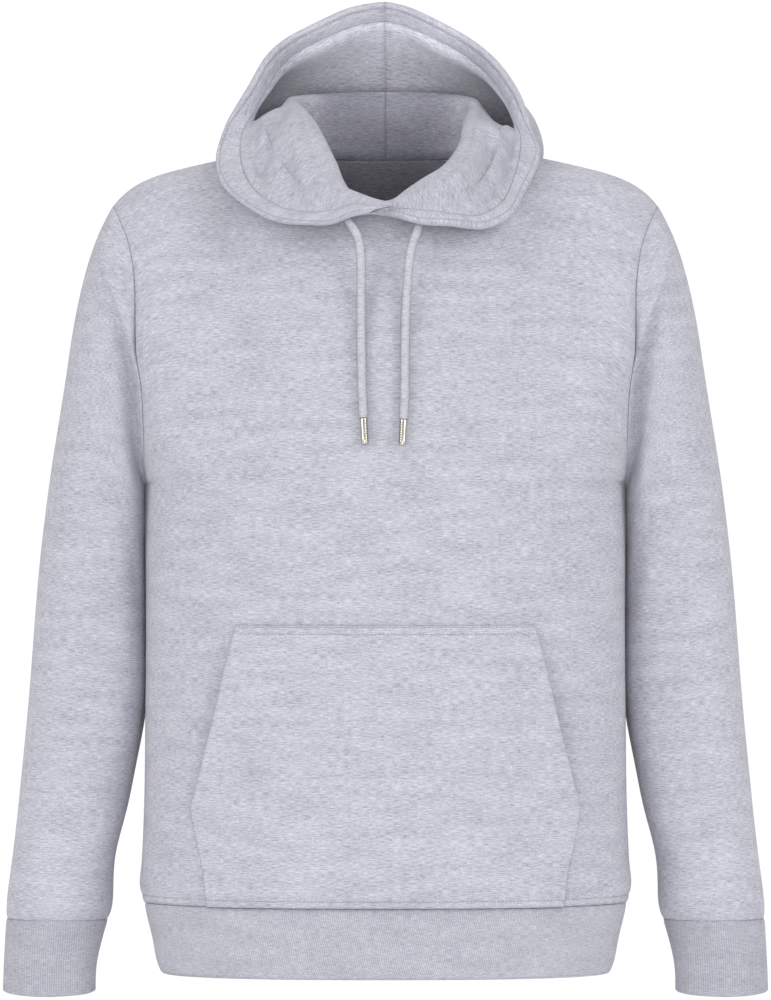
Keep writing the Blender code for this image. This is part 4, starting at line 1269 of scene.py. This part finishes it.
def make_pocket():
    across = 2 * crowded(POCKET_CELLS_ACROSS) - 1
    heights = POCKET[0].z + (POCKET[-1].z - POCKET[0].z) * crowded(POCKET_CELLS_UP)
    rows, lifts = [], []
    for z in heights:
        half_width = np.interp(z, column(POCKET, "z"), column(POCKET, "half_width"))
        stand_off = through(column(POCKET, "z"), column(POCKET, "stand_off"), z)
        x = half_width * across
        swell = POCKET_MIDDLE_LIFT + (1 - POCKET_MIDDLE_LIFT) * np.abs(across) ** 3
        lift = POCKET_LEAST_LIFT + (stand_off - POCKET_LEAST_LIFT) * swell
        rows.append(np.stack([x, front_surface(x, z) - lift, np.full_like(x, z)], axis=-1))
        lifts.append(lift)
    inside, lifts = np.array(rows), np.array(lifts)
    outward = grid_normals(inside)
    outward *= np.where(outward[..., 1:2] > 0, -1, 1)
    left, right = from_edges(inside, 1)
    bottom, top = from_edges(inside, 0)
    edge = np.minimum.reduce([left, right, bottom, top])
    away = soft_folds(POCKET_FOLDS, inside[..., 0], inside[..., 2]) * ease(edge / POCKET_FOLD_FADE)
    room = np.maximum(lifts - POCKET_FOLD_CLEAR, 0)
    inside = inside - outward * np.minimum(away, room)[..., None]
    thick = POCKET_WALL * (
        POCKET_EDGE_WALL + (1 - POCKET_EDGE_WALL) * ease(edge / POCKET_EDGE_ROUND))
    groove = np.maximum.reduce([bell(top - gap, POCKET_GROOVE_WIDTH) for gap in POCKET_TOP_STITCHES]
                               + [bell(bottom - POCKET_HEM_STITCH, POCKET_GROOVE_WIDTH)])
    outside = inside + outward * (thick - GROOVE_DEPTH * groove)[..., None]
    piece = wall("cloth_pocket", outside, inside, panel_run(inside), fleece, shaded_inner_fleece)
    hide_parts("pocket")
    lines = []
    for gap in POCKET_TOP_STITCHES:
        line, up = at_run(outside[::-1], outward[::-1], top[::-1], gap)
        lines.append((line[2:-2], up[2:-2]))
    line, up = at_run(outside, outward, bottom, POCKET_HEM_STITCH)
    lines.append((line[1:-1], up[1:-1]))
    sewn = heights < SLIT_FOOT_Z
    for way, gap in ((1, left), (-1, right)):
        from_side = [np.swapaxes(grid[:, ::way], 0, 1) for grid in (outside, outward, gap)]
        line, up = at_run(*from_side, POCKET_EDGE_STITCH)
        lines.append((line[sewn], up[sewn]))
    return piece, thread_row("stitches_pocket", lines)


# ---------------------------------------------------------------- hood

def facet_neckline(angle):
    """The point of the panels' neckline that a hood section is sewn to."""
    front = np.linspace(-90, 90, FRONT_NECK_FACETS + 1)
    back = np.linspace(90, 270, BACK_NECK_FACETS + 1)[1:]
    knots = np.concatenate([front, back, front[1:] + 360])
    points = neckline(knots)
    return read_along(angle, knots, points)


def mirrored_bag(angle):
    """The bag's section at a ring angle, for either side."""
    from_front = angle if angle <= 180 else 360 - angle
    values = through(column(BAG, "angle"),
                     column(BAG, "trough_x", "trough_y", "trough_z", "swell", "lip", "floor"),
                     max(from_front, 90))
    side = -1.0 if angle <= 180 else 1.0
    return np.array([side * values[0], values[1], values[2]]), values[3], values[4], values[5]


def hood_section(angle):
    """Control points of one section of the hood's middle surface, from neckline to rim."""
    values = through(
        column(HOOD, "angle"),
        column(HOOD, "ridge_x", "ridge_y", "ridge_z", "rim_x", "rim_y", "rim_z", "casing"), angle)
    ridge, rim, casing = values[:3], values[3:6], values[6]
    from_start, from_end = angle - HOOD[0].angle, HOOD[-1].angle - angle
    near_start = 1 - ease(from_start / CROSSING_REACH)
    near_end = 1 - ease(from_end / CROSSING_REACH)
    sewn = facet_neckline(angle) + (0, CROSSING_SHIFT * (near_end - near_start), HOOD_LIFT)
    into = unit(ridge - rim)
    end_swell = CASING_SWELL * (1 - 0.6 * max(near_start, near_end))
    edge = rim + into * (LAYER_GAP + HOOD_WALL + end_swell)
    crease = rim + into * casing
    full, swell, lip, floor = mirrored_bag(angle)
    bag = ease((min(angle, 360 - angle) - BAG_START) / BAG_BLEND)
    away = unit((unit(full - sewn) * bag + unit(rim - ridge) * (1 - bag)) * (1, 1, 0))
    full_size = ease(min(from_start, from_end) / FULL_SIZE_WITHIN)
    radius = RIDGE_ROLL * (0.45 + 0.55 * full_size)
    ridge_in = ridge + (-away + (0, 0, -1)) * radius
    bow = np.array([0, -0.5, 0.87]) * FLAP_BOW * full_size ** 2 * (1 - bag)
    ridge_out = ridge + (away + (0, 0, -1)) * radius + bow * 0.5
    level = lip / BAG[-1].lip
    towards = unit(into * level + unit(full - crease) * (1 - level))
    lip_end = crease + towards * max(lip, LIP_LEAST) * bag + (ridge_out - crease) * 0.15 * (1 - bag)
    trough = (ridge_out * 0.55 + lip_end * 0.45) * (1 - bag) + full * bag + bow
    outward = unit(np.array([full[0], full[1] - 20.0, 0.0]))
    trough_near = trough - outward * floor * bag + (ridge_out - trough) * 0.35 * (1 - bag)
    trough_far = trough + outward * floor * bag + (lip_end - trough) * 0.2 * (1 - bag)
    far_low = trough * 0.6 + lip_end * 0.4 + outward * swell * bag + bow * 0.2
    far_high = trough * 0.2 + lip_end * 0.8 + outward * swell * bag * 0.8
    controls = np.array([sewn, ridge_in, ridge, ridge_out, trough_near, trough_far,
                         far_low, far_high, lip_end, crease, edge])
    return controls, into, end_swell


# How far the hood's upper front end runs out to a point where it crosses the lower one: the share
# of the whole taper at each row of a section, and the whole taper in columns.
TaperRow = namedtuple("TaperRow", "row share")
CROSSING_TAPER = table(
    TaperRow,
    (0, 1.0), (1, 0.75), (2, 0.05), (4, 0.1), (12, 0.3),
    (14, 0.8), (16, 1.0), (18, 0.72), (20, 0.3),
)
CROSSING_TAPER_COLUMNS = 1.85
SEAM_VALLEY = 0.4
SEAM_VALLEY_WIDTH = 1.4
RIM_STITCH = 7.0
CASING_TURNS = 5
COURSES_TURN_FROM = 78.0
COURSES_TURN_WITHIN = 30.0
HOOD_FINER_ROWS = 6
HOOD_FINER_SECTIONS = 6


def hood_run(points, rim_row, turned, seam_column):
    """Cloth coordinates: courses run in from the face edge, and level round the back."""
    down = run_along(points, 0)
    down = down[rim_row:rim_row + 1] - down
    across = run_along(points, 1)
    rim = across[rim_row] - across[rim_row, across.shape[1] // 2]
    round_back = across - across[:, seam_column:seam_column + 1 or None]
    level = (down * turned).sum(axis=1, keepdims=True) / turned.sum()
    along = np.stack([down, np.broadcast_to(rim, down.shape)], axis=-1)
    behind = np.stack([round_back, np.broadcast_to(level, down.shape)], axis=-1)
    return along * (1 - turned[None, :, None]) + behind * turned[None, :, None]


# Soft folds of the flaps and of the hood's back: the section's angle, and six times the row. They
# fade in and out over some of those rows, and towards the seam over some millimetres.
FOLD_ROW_SCALE = 6.0
FOLD_FADE_IN = (12, 10)
FOLD_FADE_OUT = (54, 8)
HOOD_SEAM_FADE = 24.0
HOOD_FOLDS = table(
    Fold,
    (87, 21, 64, 44, 6.0, 3.8),
    (84, 17, 50, 27, -4.6, 3.6),
    (64, 25, 38, 43, 5.0, 4.0),
    (92, 38, 58, 48, 3.4, 4.4),
    (262, 18, 272, 46, 5.4, 3.6),
    (272, 18, 322, 25, -4.4, 3.8),
    (278, 27, 314, 37, 5.2, 4.0),
    (272, 46, 302, 48, 3.2, 4.4),
    (126, 34, 146, 68, 3.4, 9),
    (236, 34, 214, 66, 3.0, 9),
    (164, 30, 171, 52, 2.0, 8),
    (196, 28, 190, 58, 1.7, 7),
)


def make_hood_half(name, angles, seam_column, seam_side):
    """A shell that turns in at the rim as a casing, and the lining that meets it there."""
    controls, intos, swell = (np.array(part) for part in zip(*map(hood_section, angles)))
    knots = np.arange(controls.shape[1])
    sheet = np.array([through(knots, section, HOOD_ROWS) for section in controls])
    edges = controls[:, -1].copy()
    swell = swell[:, None]
    normal = grid_normals(np.concatenate([sheet, edges[:, None]], axis=1))
    normal *= -np.sign(normal[len(normal) // 2, -1, 1])
    normal[seam_column, :, 0] = 0
    normal = evened(evened(unit(normal)))
    sheet[seam_column, :, 0] = -seam_side * SEAM_LAP
    edges[seam_column, 0] = -seam_side * SEAM_LAP
    skin, edge_normal = normal[:, :-1], normal[:, -1]
    near, far = LAYER_GAP, LAYER_GAP + HOOD_WALL
    lip_step = np.zeros_like(sheet)
    step_back = unit(sheet[:, -1:] - sheet[:, -2:-1])
    lip_step[:, -3:] = step_back * np.array([[0.6], [1.2], [2.0]]) * SEAM_GAP
    lining_out = np.swapaxes(sheet + skin * far - lip_step, 0, 1)
    lining_in = np.swapaxes(sheet + skin * near - lip_step, 0, 1)
    outer = [sheet[:, row] - skin[:, row] * far for row in range(sheet.shape[1])]
    inner = [sheet[:, row] - skin[:, row] * near for row in range(sheet.shape[1])]
    half_band = (sheet[:, -1] + edges) / 2
    band_normal = unit(skin[:, -1] + edge_normal)
    band = [(half_band, -band_normal)]
    for turn in np.linspace(0, np.pi, CASING_TURNS):
        band.append((edges, -edge_normal * np.cos(turn) - intos * np.sin(turn)))
    band.append((half_band, band_normal))
    outer += [place + direction * (far + swell) for place, direction in band]
    inner += [place + direction * (near + swell) for place, direction in band]
    outer.append(sheet[:, -1] + skin[:, -1] * far)
    inner.append(sheet[:, -1] + skin[:, -1] * near)
    rim_row = (len(HOOD_ROWS) + 1 + CASING_TURNS // 2) * HOOD_FINER_ROWS
    cells = len(angles) - 1
    fine_angles = even_spline(
        np.asarray(angles, float), np.linspace(0, cells, cells * HOOD_FINER_SECTIONS + 1))
    from_front = np.minimum(fine_angles, 360 - fine_angles)
    turned = ease((from_front - COURSES_TURN_FROM) / COURSES_TURN_WITHIN)
    pieces = []
    for label, out, back in (("cloth_hood_lining_", lining_out, lining_in),
                             ("cloth_hood_", np.array(outer), np.array(inner))):
        steps = np.linspace(0, len(out) - 1, (len(out) - 1) * HOOD_FINER_ROWS + 1)
        last = out.shape[1] - 1
        most = CROSSING_TAPER_COLUMNS if seam_column == -1 else 0.0
        taper = most * np.interp(
            steps, column(CROSSING_TAPER, "row"), column(CROSSING_TAPER, "share"))
        trim = (taper, np.full_like(taper, last))
        out = finer(out, HOOD_FINER_ROWS, HOOD_FINER_SECTIONS, trim)
        back = finer(back, HOOD_FINER_ROWS, HOOD_FINER_SECTIONS, trim)
        lining = "lining" in label
        edge_row = len(out) - 1 if lining else rim_row
        cloth_run = hood_run(out, edge_row, turned, seam_column)
        skin_out = unit(out - back)
        seam_gap = run_along(out, 1)
        seam_gap = seam_gap if seam_column == 0 else seam_gap[:, -1:] - seam_gap
        rows = FOLD_ROW_SCALE * np.interp(steps, np.arange(len(HOOD_ROWS)), HOOD_ROWS)
        fade = (ease((rows - FOLD_FADE_IN[0]) / FOLD_FADE_IN[1])
                * ease((FOLD_FADE_OUT[0] - rows) / FOLD_FADE_OUT[1]))
        deep = soft_folds(HOOD_FOLDS, *np.meshgrid(fine_angles, rows))
        deep = deep * fade[:, None] * ease(seam_gap / HOOD_SEAM_FADE)
        deep = deep if lining else -deep
        out, back = out - skin_out * deep[..., None], back - skin_out * deep[..., None]
        valley = SEAM_VALLEY * bell(seam_gap, SEAM_VALLEY_WIDTH)
        if not lining:
            run = run_along(out, 0)
            from_rim = run - run[rim_row:rim_row + 1]
            valley = valley + GROOVE_DEPTH * bell(from_rim - RIM_STITCH, GROOVE_WIDTH)
        out = out - skin_out * valley[..., None]
        piece = wall(label + name, out, back, cloth_run, shaded_lining_fleece if lining else fleece)
        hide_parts(label.removeprefix("cloth_") + name)
        thread = None
        if not lining:
            line, up = at_run(out, skin_out, from_rim, RIM_STITCH)
            thread = thread_row("stitches_hood_" + name, [(line[4:-4], up[4:-4])])
        pieces.append((piece, thread))
    return pieces


def make_hood():
    front = np.arange(0, 90, 90 / FRONT_NECK_FACETS)
    side = np.arange(90, 108, 90 / BACK_NECK_FACETS / 2)
    back = np.concatenate([side, np.arange(108, 181, 180 / BACK_NECK_FACETS / 2)])
    left = np.concatenate([[HOOD[0].angle], front, back])
    right = np.concatenate([360 - back[::-1], 360 - front[::-1], [HOOD[-1].angle]])
    return make_hood_half("left", left, -1, -1) + make_hood_half("right", right, 0, 1)


# ---------------------------------------------------------------- drawcords

CORD_RINGS_STEP = 1.6
CORD_SIDES = 24
CORD_END_PINCH = 0.93
CORD_SHARP_ANGLE = 1.2


def cord_line(route):
    """The cord's middle line, evenly stepped, and which way it heads at its end."""
    points = column(route, "x", "y", "z")
    lengths = run_along(points, 0)
    count = int(lengths[-1] / CORD_RINGS_STEP) + 2
    line = through(lengths, points, np.linspace(0, lengths[-1], count))
    return line, unit(line[-1] - line[-2])


def make_cord(side_name, route):
    line, heading = cord_line(route)
    count = len(line)
    mesh_data = bmesh.new()
    keys = number_layers(mesh_data)
    bmesh.ops.create_cone(
        mesh_data, cap_ends=True, segments=CORD_SIDES, radius1=1, radius2=1, depth=2)
    upright = [edge for edge in mesh_data.edges if abs(edge.verts[0].co.z - edge.verts[1].co.z) > 1]
    bmesh.ops.subdivide_edges(mesh_data, edges=upright, cuts=count - 2, use_grid_fill=True)
    along = unit(np.gradient(line, axis=0))
    sideways = unit(np.cross(along, (0.0, 1.0, 0.0)))
    forward = np.cross(sideways, along)
    radius = CORD_DIAMETER / 2
    for vert in mesh_data.verts:
        ring = round((1 - vert.co.z) / 2 * (count - 1))
        turn = np.arctan2(vert.co.y, vert.co.x)
        vert[keys[0]] = ring
        vert[keys[1]] = round(turn / (2 * np.pi) * CORD_SIDES) % CORD_SIDES
        pull = CORD_END_PINCH if ring > count - 3 else 1.0
        out = sideways[ring] * np.cos(turn) + forward[ring] * np.sin(turn)
        vert.co = (line[ring] + out * radius * pull) * MM
    bmesh.ops.recalc_face_normals(mesh_data, faces=mesh_data.faces[:])
    laid = mesh_data.loops.layers.uv.new("cloth")
    round_step = np.pi * CORD_DIAMETER / CORD_SIDES
    run = run_along(line, 0)
    for face in mesh_data.faces:
        places = [loop.vert[keys[1]] for loop in face.loops]
        wraps = max(places) - min(places) > CORD_SIDES / 2
        for loop, place in zip(face.loops, places):
            place += CORD_SIDES if wraps and place < CORD_SIDES / 2 else 0
            loop[laid].uv = (place * round_step * MM, -run[loop.vert[keys[0]]] * MM)
    made = to_object("cord_" + side_name, mesh_data, (braid,), CORD_SHARP_ANGLE)
    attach(made, "root")
    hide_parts("drawcord_" + side_name)
    tip = make_tip(side_name, line[-1] + heading * SEAM_GAP, heading)


TipRing = namedtuple("TipRing", "down radius")
TIP_PROFILE = table(
    TipRing,
    (0.0, 2.25), (0.25, 2.65), (0.8, 2.8), (5.0, 2.74),
    (11.0, 2.7), (17.0, 2.68), (20.6, 2.66), (21.5, 2.45),
    (21.9, 2.0), (22.0, 0.9),
)
CRIMP_PITCH = 2.1
CRIMP_COUNT = 9
CRIMP_TURNS = (0.0, 0.38, 0.76, 1.16)
CRIMP_RADIUS = 0.55
CRIMP_SUNK = 0.14
CRIMP_START = 1.9
CRIMP_END = 20.4
TIP_SIDES = 32
TIP_SHARP_ANGLE = 0.8


def make_tip(side_name, start, heading):
    """A metal tip folded round the cord's end, with files of small crimp dots on its inner side,
    darkened as painted shade.
    """
    mesh_data = bmesh.new()
    wider = TIP_DIAMETER / 2 / max(column(TIP_PROFILE, "radius"))
    profile = [mesh_data.verts.new((ring.radius * wider, 0, -ring.down)) for ring in TIP_PROFILE]
    edges = [mesh_data.edges.new(pair) for pair in zip(profile, profile[1:])]
    bmesh.ops.spin(mesh_data, geom=profile + edges, axis=(0, 0, 1), cent=(0, 0, 0),
                   angle=2 * np.pi, steps=TIP_SIDES, use_merge=True)
    rims = [edge for edge in mesh_data.edges if edge.is_boundary]
    bmesh.ops.holes_fill(mesh_data, edges=rims, sides=0)
    inner = 1.0 if side_name == "left" else -1.0
    reach = TIP_DIAMETER / 2 - CRIMP_SUNK
    for index in range(CRIMP_COUNT):
        for file, turn in enumerate(CRIMP_TURNS):
            dot = bmesh.ops.create_uvsphere(
                mesh_data, u_segments=8, v_segments=5, radius=CRIMP_RADIUS)["verts"]
            down = CRIMP_START + (index + 0.5 * (file % 2)) * CRIMP_PITCH
            bmesh.ops.translate(mesh_data, verts=dot, vec=(
                inner * reach * np.sin(turn), -reach * np.cos(turn), -min(down, CRIMP_END)))
            for face in {face for vert in dot for face in vert.link_faces}:
                face.material_index = 1
    bmesh.ops.recalc_face_normals(mesh_data, faces=mesh_data.faces[:])
    lean = Vector((0, 0, -1)).rotation_difference(Vector(heading))
    bmesh.ops.rotate(mesh_data, verts=mesh_data.verts, cent=(0, 0, 0), matrix=lean.to_matrix())
    bmesh.ops.translate(mesh_data, verts=mesh_data.verts, vec=start)
    bmesh.ops.scale(mesh_data, verts=mesh_data.verts, vec=(MM, MM, MM))
    made = to_object("tip_" + side_name, mesh_data, (tip_metal, crimp_metal), TIP_SHARP_ANGLE)
    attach(made, "root")
    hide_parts("cord_tip_" + side_name)
    return made


STRAND_PITCH = 0.00126
STRAND_RELIEF = 0.00012
HAZE_SPREAD = 0.16


def braided_cotton(name, dark, pale):
    """A round plait: fine strands that cross both ways, in the same melange yarn, with painted
    shade where its sides turn away from view.
    """
    made = fabric(name, dark, pale, 0.8, 0.00008)
    tree = made.node_tree
    shader = tree.nodes["Principled BSDF"]
    place = cloth_coordinates(tree)
    parts = tree.nodes.new("ShaderNodeSeparateXYZ")
    tree.links.new(place, parts.inputs[0])
    strands = []
    for lean in (1.0, -1.0):
        slant = maths(tree, "MULTIPLY_ADD", parts.outputs["X"], lean, parts.outputs["Y"])
        turns = maths(tree, "MULTIPLY", slant, 2 * np.pi / STRAND_PITCH)
        strands.append(maths(tree, "SINE", turns))
    height = maths(tree, "MAXIMUM", *strands)
    before = shader.inputs["Normal"].links[0].from_socket
    tree.links.new(bumped(tree, height, STRAND_RELIEF, before), shader.inputs["Normal"])
    shader.inputs["Sheen Weight"].default_value = 0.0
    # Painted shade: the cord's sides are darkened where they turn away from view.
    limb = tree.nodes.new("ShaderNodeLayerWeight")
    limb.inputs["Blend"].default_value = 0.5
    painted_side_shade = maths(tree, "POWER", limb.outputs["Facing"], 2.4)
    colour = shader.inputs["Base Color"].links[0].from_socket
    shaded = tinted(tree, colour, (0.42, 0.42, 0.45, 1), painted_side_shade)
    tree.links.new(shaded, shader.inputs["Base Color"])
    return made


def plated_metal(name, low, high, haze_least):
    """Plated metal with a slight handling haze."""
    made, tree, shader = new_material(name)
    shader.inputs["Metallic"].default_value = 1.0
    coordinates = tree.nodes.new("ShaderNodeTexCoord")
    haze = tree.nodes.new("ShaderNodeTexNoise")
    haze.inputs["Scale"].default_value = 900.0
    haze.inputs["Detail"].default_value = 3.0
    tree.links.new(coordinates.outputs["Object"], haze.inputs["Vector"])
    ramp = tree.nodes.new("ShaderNodeMix")
    ramp.data_type = "RGBA"
    ramp.inputs["A"].default_value = low
    ramp.inputs["B"].default_value = high
    tree.links.new(haze.outputs[0], ramp.inputs["Factor"])
    tree.links.new(ramp.outputs["Result"], shader.inputs["Base Color"])
    roughness = maths(tree, "MULTIPLY_ADD", haze.outputs[0], HAZE_SPREAD, haze_least)
    tree.links.new(roughness, shader.inputs["Roughness"])
    return made


braid = braided_cotton("braided melange cotton", (0.31, 0.31, 0.355, 1), (0.70, 0.70, 0.76, 1))
tip_metal = plated_metal(
    "pale plated metal", (0.50, 0.48, 0.41, 1), (0.64, 0.62, 0.55, 1), 0.12)
# The crimp dots' metal is darkened: painted shade in the crimps.
crimp_metal = plated_metal(
    "crimped metal in shade", (0.15, 0.145, 0.11, 1), (0.26, 0.25, 0.20, 1), 0.30)


# ---------------------------------------------------------------- the garment

make_cord("left", CORD_LEFT)
make_cord("right", CORD_RIGHT)
sewn_pieces = make_body()
make_sleeve("sleeve_left", -1)
make_sleeve("sleeve_right", 1)
make_cuff("cuff_left", -1)
make_cuff("cuff_right", 1)
make_hem()
sewn_pieces.append(make_pocket())
sewn_pieces += make_hood()

# What shows of each piece of cloth as it is cut, in metres and square metres; a tube's width is
# all round.
Cut = namedtuple("Cut", "piece width length area rests_on")
PANELS = ("cloth_front_panel", "cloth_back_panel")
CUTS = table(
    Cut,
    ("cloth_front_panel", 0.561, 0.671, 0.314, ()),
    ("cloth_back_panel", 0.562, 0.676, 0.339, ()),
    ("cloth_sleeve_left", 0.571, 0.621, 0.180, PANELS),
    ("cloth_sleeve_right", 0.571, 0.621, 0.180, PANELS),
    ("cloth_cuff_left", 0.240, 0.061, None, ("cloth_sleeve_left",)),
    ("cloth_cuff_right", 0.240, 0.061, None, ("cloth_sleeve_right",)),
    ("cloth_hem_rib", 1.062, 0.060, None, PANELS),
    ("cloth_pocket", 0.336, 0.237, 0.073, ("cloth_front_panel",)),
    ("cloth_hood_left", 0.310, 0.375, 0.091, PANELS),
    ("cloth_hood_right", 0.310, 0.375, 0.091, PANELS),
    ("cloth_hood_lining_left", 0.280, 0.345, 0.077, ("cloth_hood_left",)),
    ("cloth_hood_lining_right", 0.280, 0.345, 0.077, ("cloth_hood_right",)),
)


# ---------------------------------------------------------------- studio

def soft_light(name, place, aim, width, height, energy):
    data = bpy.data.lights.new(name, "AREA")
    data.shape = "RECTANGLE"
    data.size, data.size_y = width, height
    data.energy = energy
    lamp = bpy.data.objects.new(name, data)
    lamp.location = place
    lamp.rotation_euler = (Vector(aim) - Vector(place)).to_track_quat("-Z", "Y").to_euler()
    scene.collection.objects.link(lamp)
    return lamp


def make_floor():
    """A plain pale floor, a little below the garment."""
    mesh_data = bmesh.new()
    bmesh.ops.create_circle(mesh_data, cap_ends=True, segments=96, radius=FLOOR_RADIUS)
    bmesh.ops.translate(mesh_data, verts=mesh_data.verts, vec=(0, 0, FLOOR_Z))
    paper, _, shader = new_material("white paper")
    for label, value in (("Base Color", (0.9, 0.9, 0.9, 1)), ("Roughness", 0.9),
                         ("Emission Color", (1, 1, 1, 1)), ("Emission Strength", 0.2)):
        shader.inputs[label].default_value = value
    to_object("floor", mesh_data, (paper,))


def make_surroundings():
    """Soft even light from all round, before a plain white ground."""
    sky = bpy.data.worlds.new("studio")
    sky.use_nodes = True
    tree = sky.node_tree
    ground = tree.nodes["Background"]
    ground.inputs["Color"].default_value = (1, 1, 1, 1)
    seen = tree.nodes.new("ShaderNodeLightPath")
    strength = maths(
        tree, "MULTIPLY_ADD", seen.outputs["Is Camera Ray"], GROUND_SEEN - ROOM_LIGHT, ROOM_LIGHT)
    tree.links.new(strength, ground.inputs["Strength"])
    scene.world = sky


FLOOR_Z = -0.86
FLOOR_RADIUS = 1.8
ROOM_LIGHT = 0.66
GROUND_SEEN = 1.02
SOFTBOX_AIM = (0, 0, -0.3)
SoftBox = namedtuple("SoftBox", "name place width height energy")
SOFTBOXES = table(
    SoftBox,
    ("left softbox", (-4.2, -3.4, 1.3), 2.4, 2.8, 72),
    ("right softbox", (4.2, -3.4, 1.3), 2.4, 2.8, 72),
    ("upper left softbox", (-2.6, -2.6, 3.0), 2.0, 2.0, 31),
    ("upper right softbox", (2.6, -2.6, 3.0), 2.0, 2.0, 31),
    ("front softbox", (0.0, -6.6, -0.1), 2.2, 2.0, 92),
)
HOOD_LAMP_SPREAD = 52.0
make_floor()
make_surroundings()
for box in SOFTBOXES:
    soft_light(box.name, box.place, SOFTBOX_AIM, box.width, box.height, box.energy)
hood_lamp = soft_light(
    "small lamp in the hood", (0.0, -0.06, 0.066), (0, 0.04, 0.0735), 0.10, 0.03, 0.026)
hood_lamp.data.spread = np.radians(HOOD_LAMP_SPREAD)
hood_lamp.visible_camera = False
scene.view_settings.view_transform = "Standard"
scene.view_settings.look = "None"
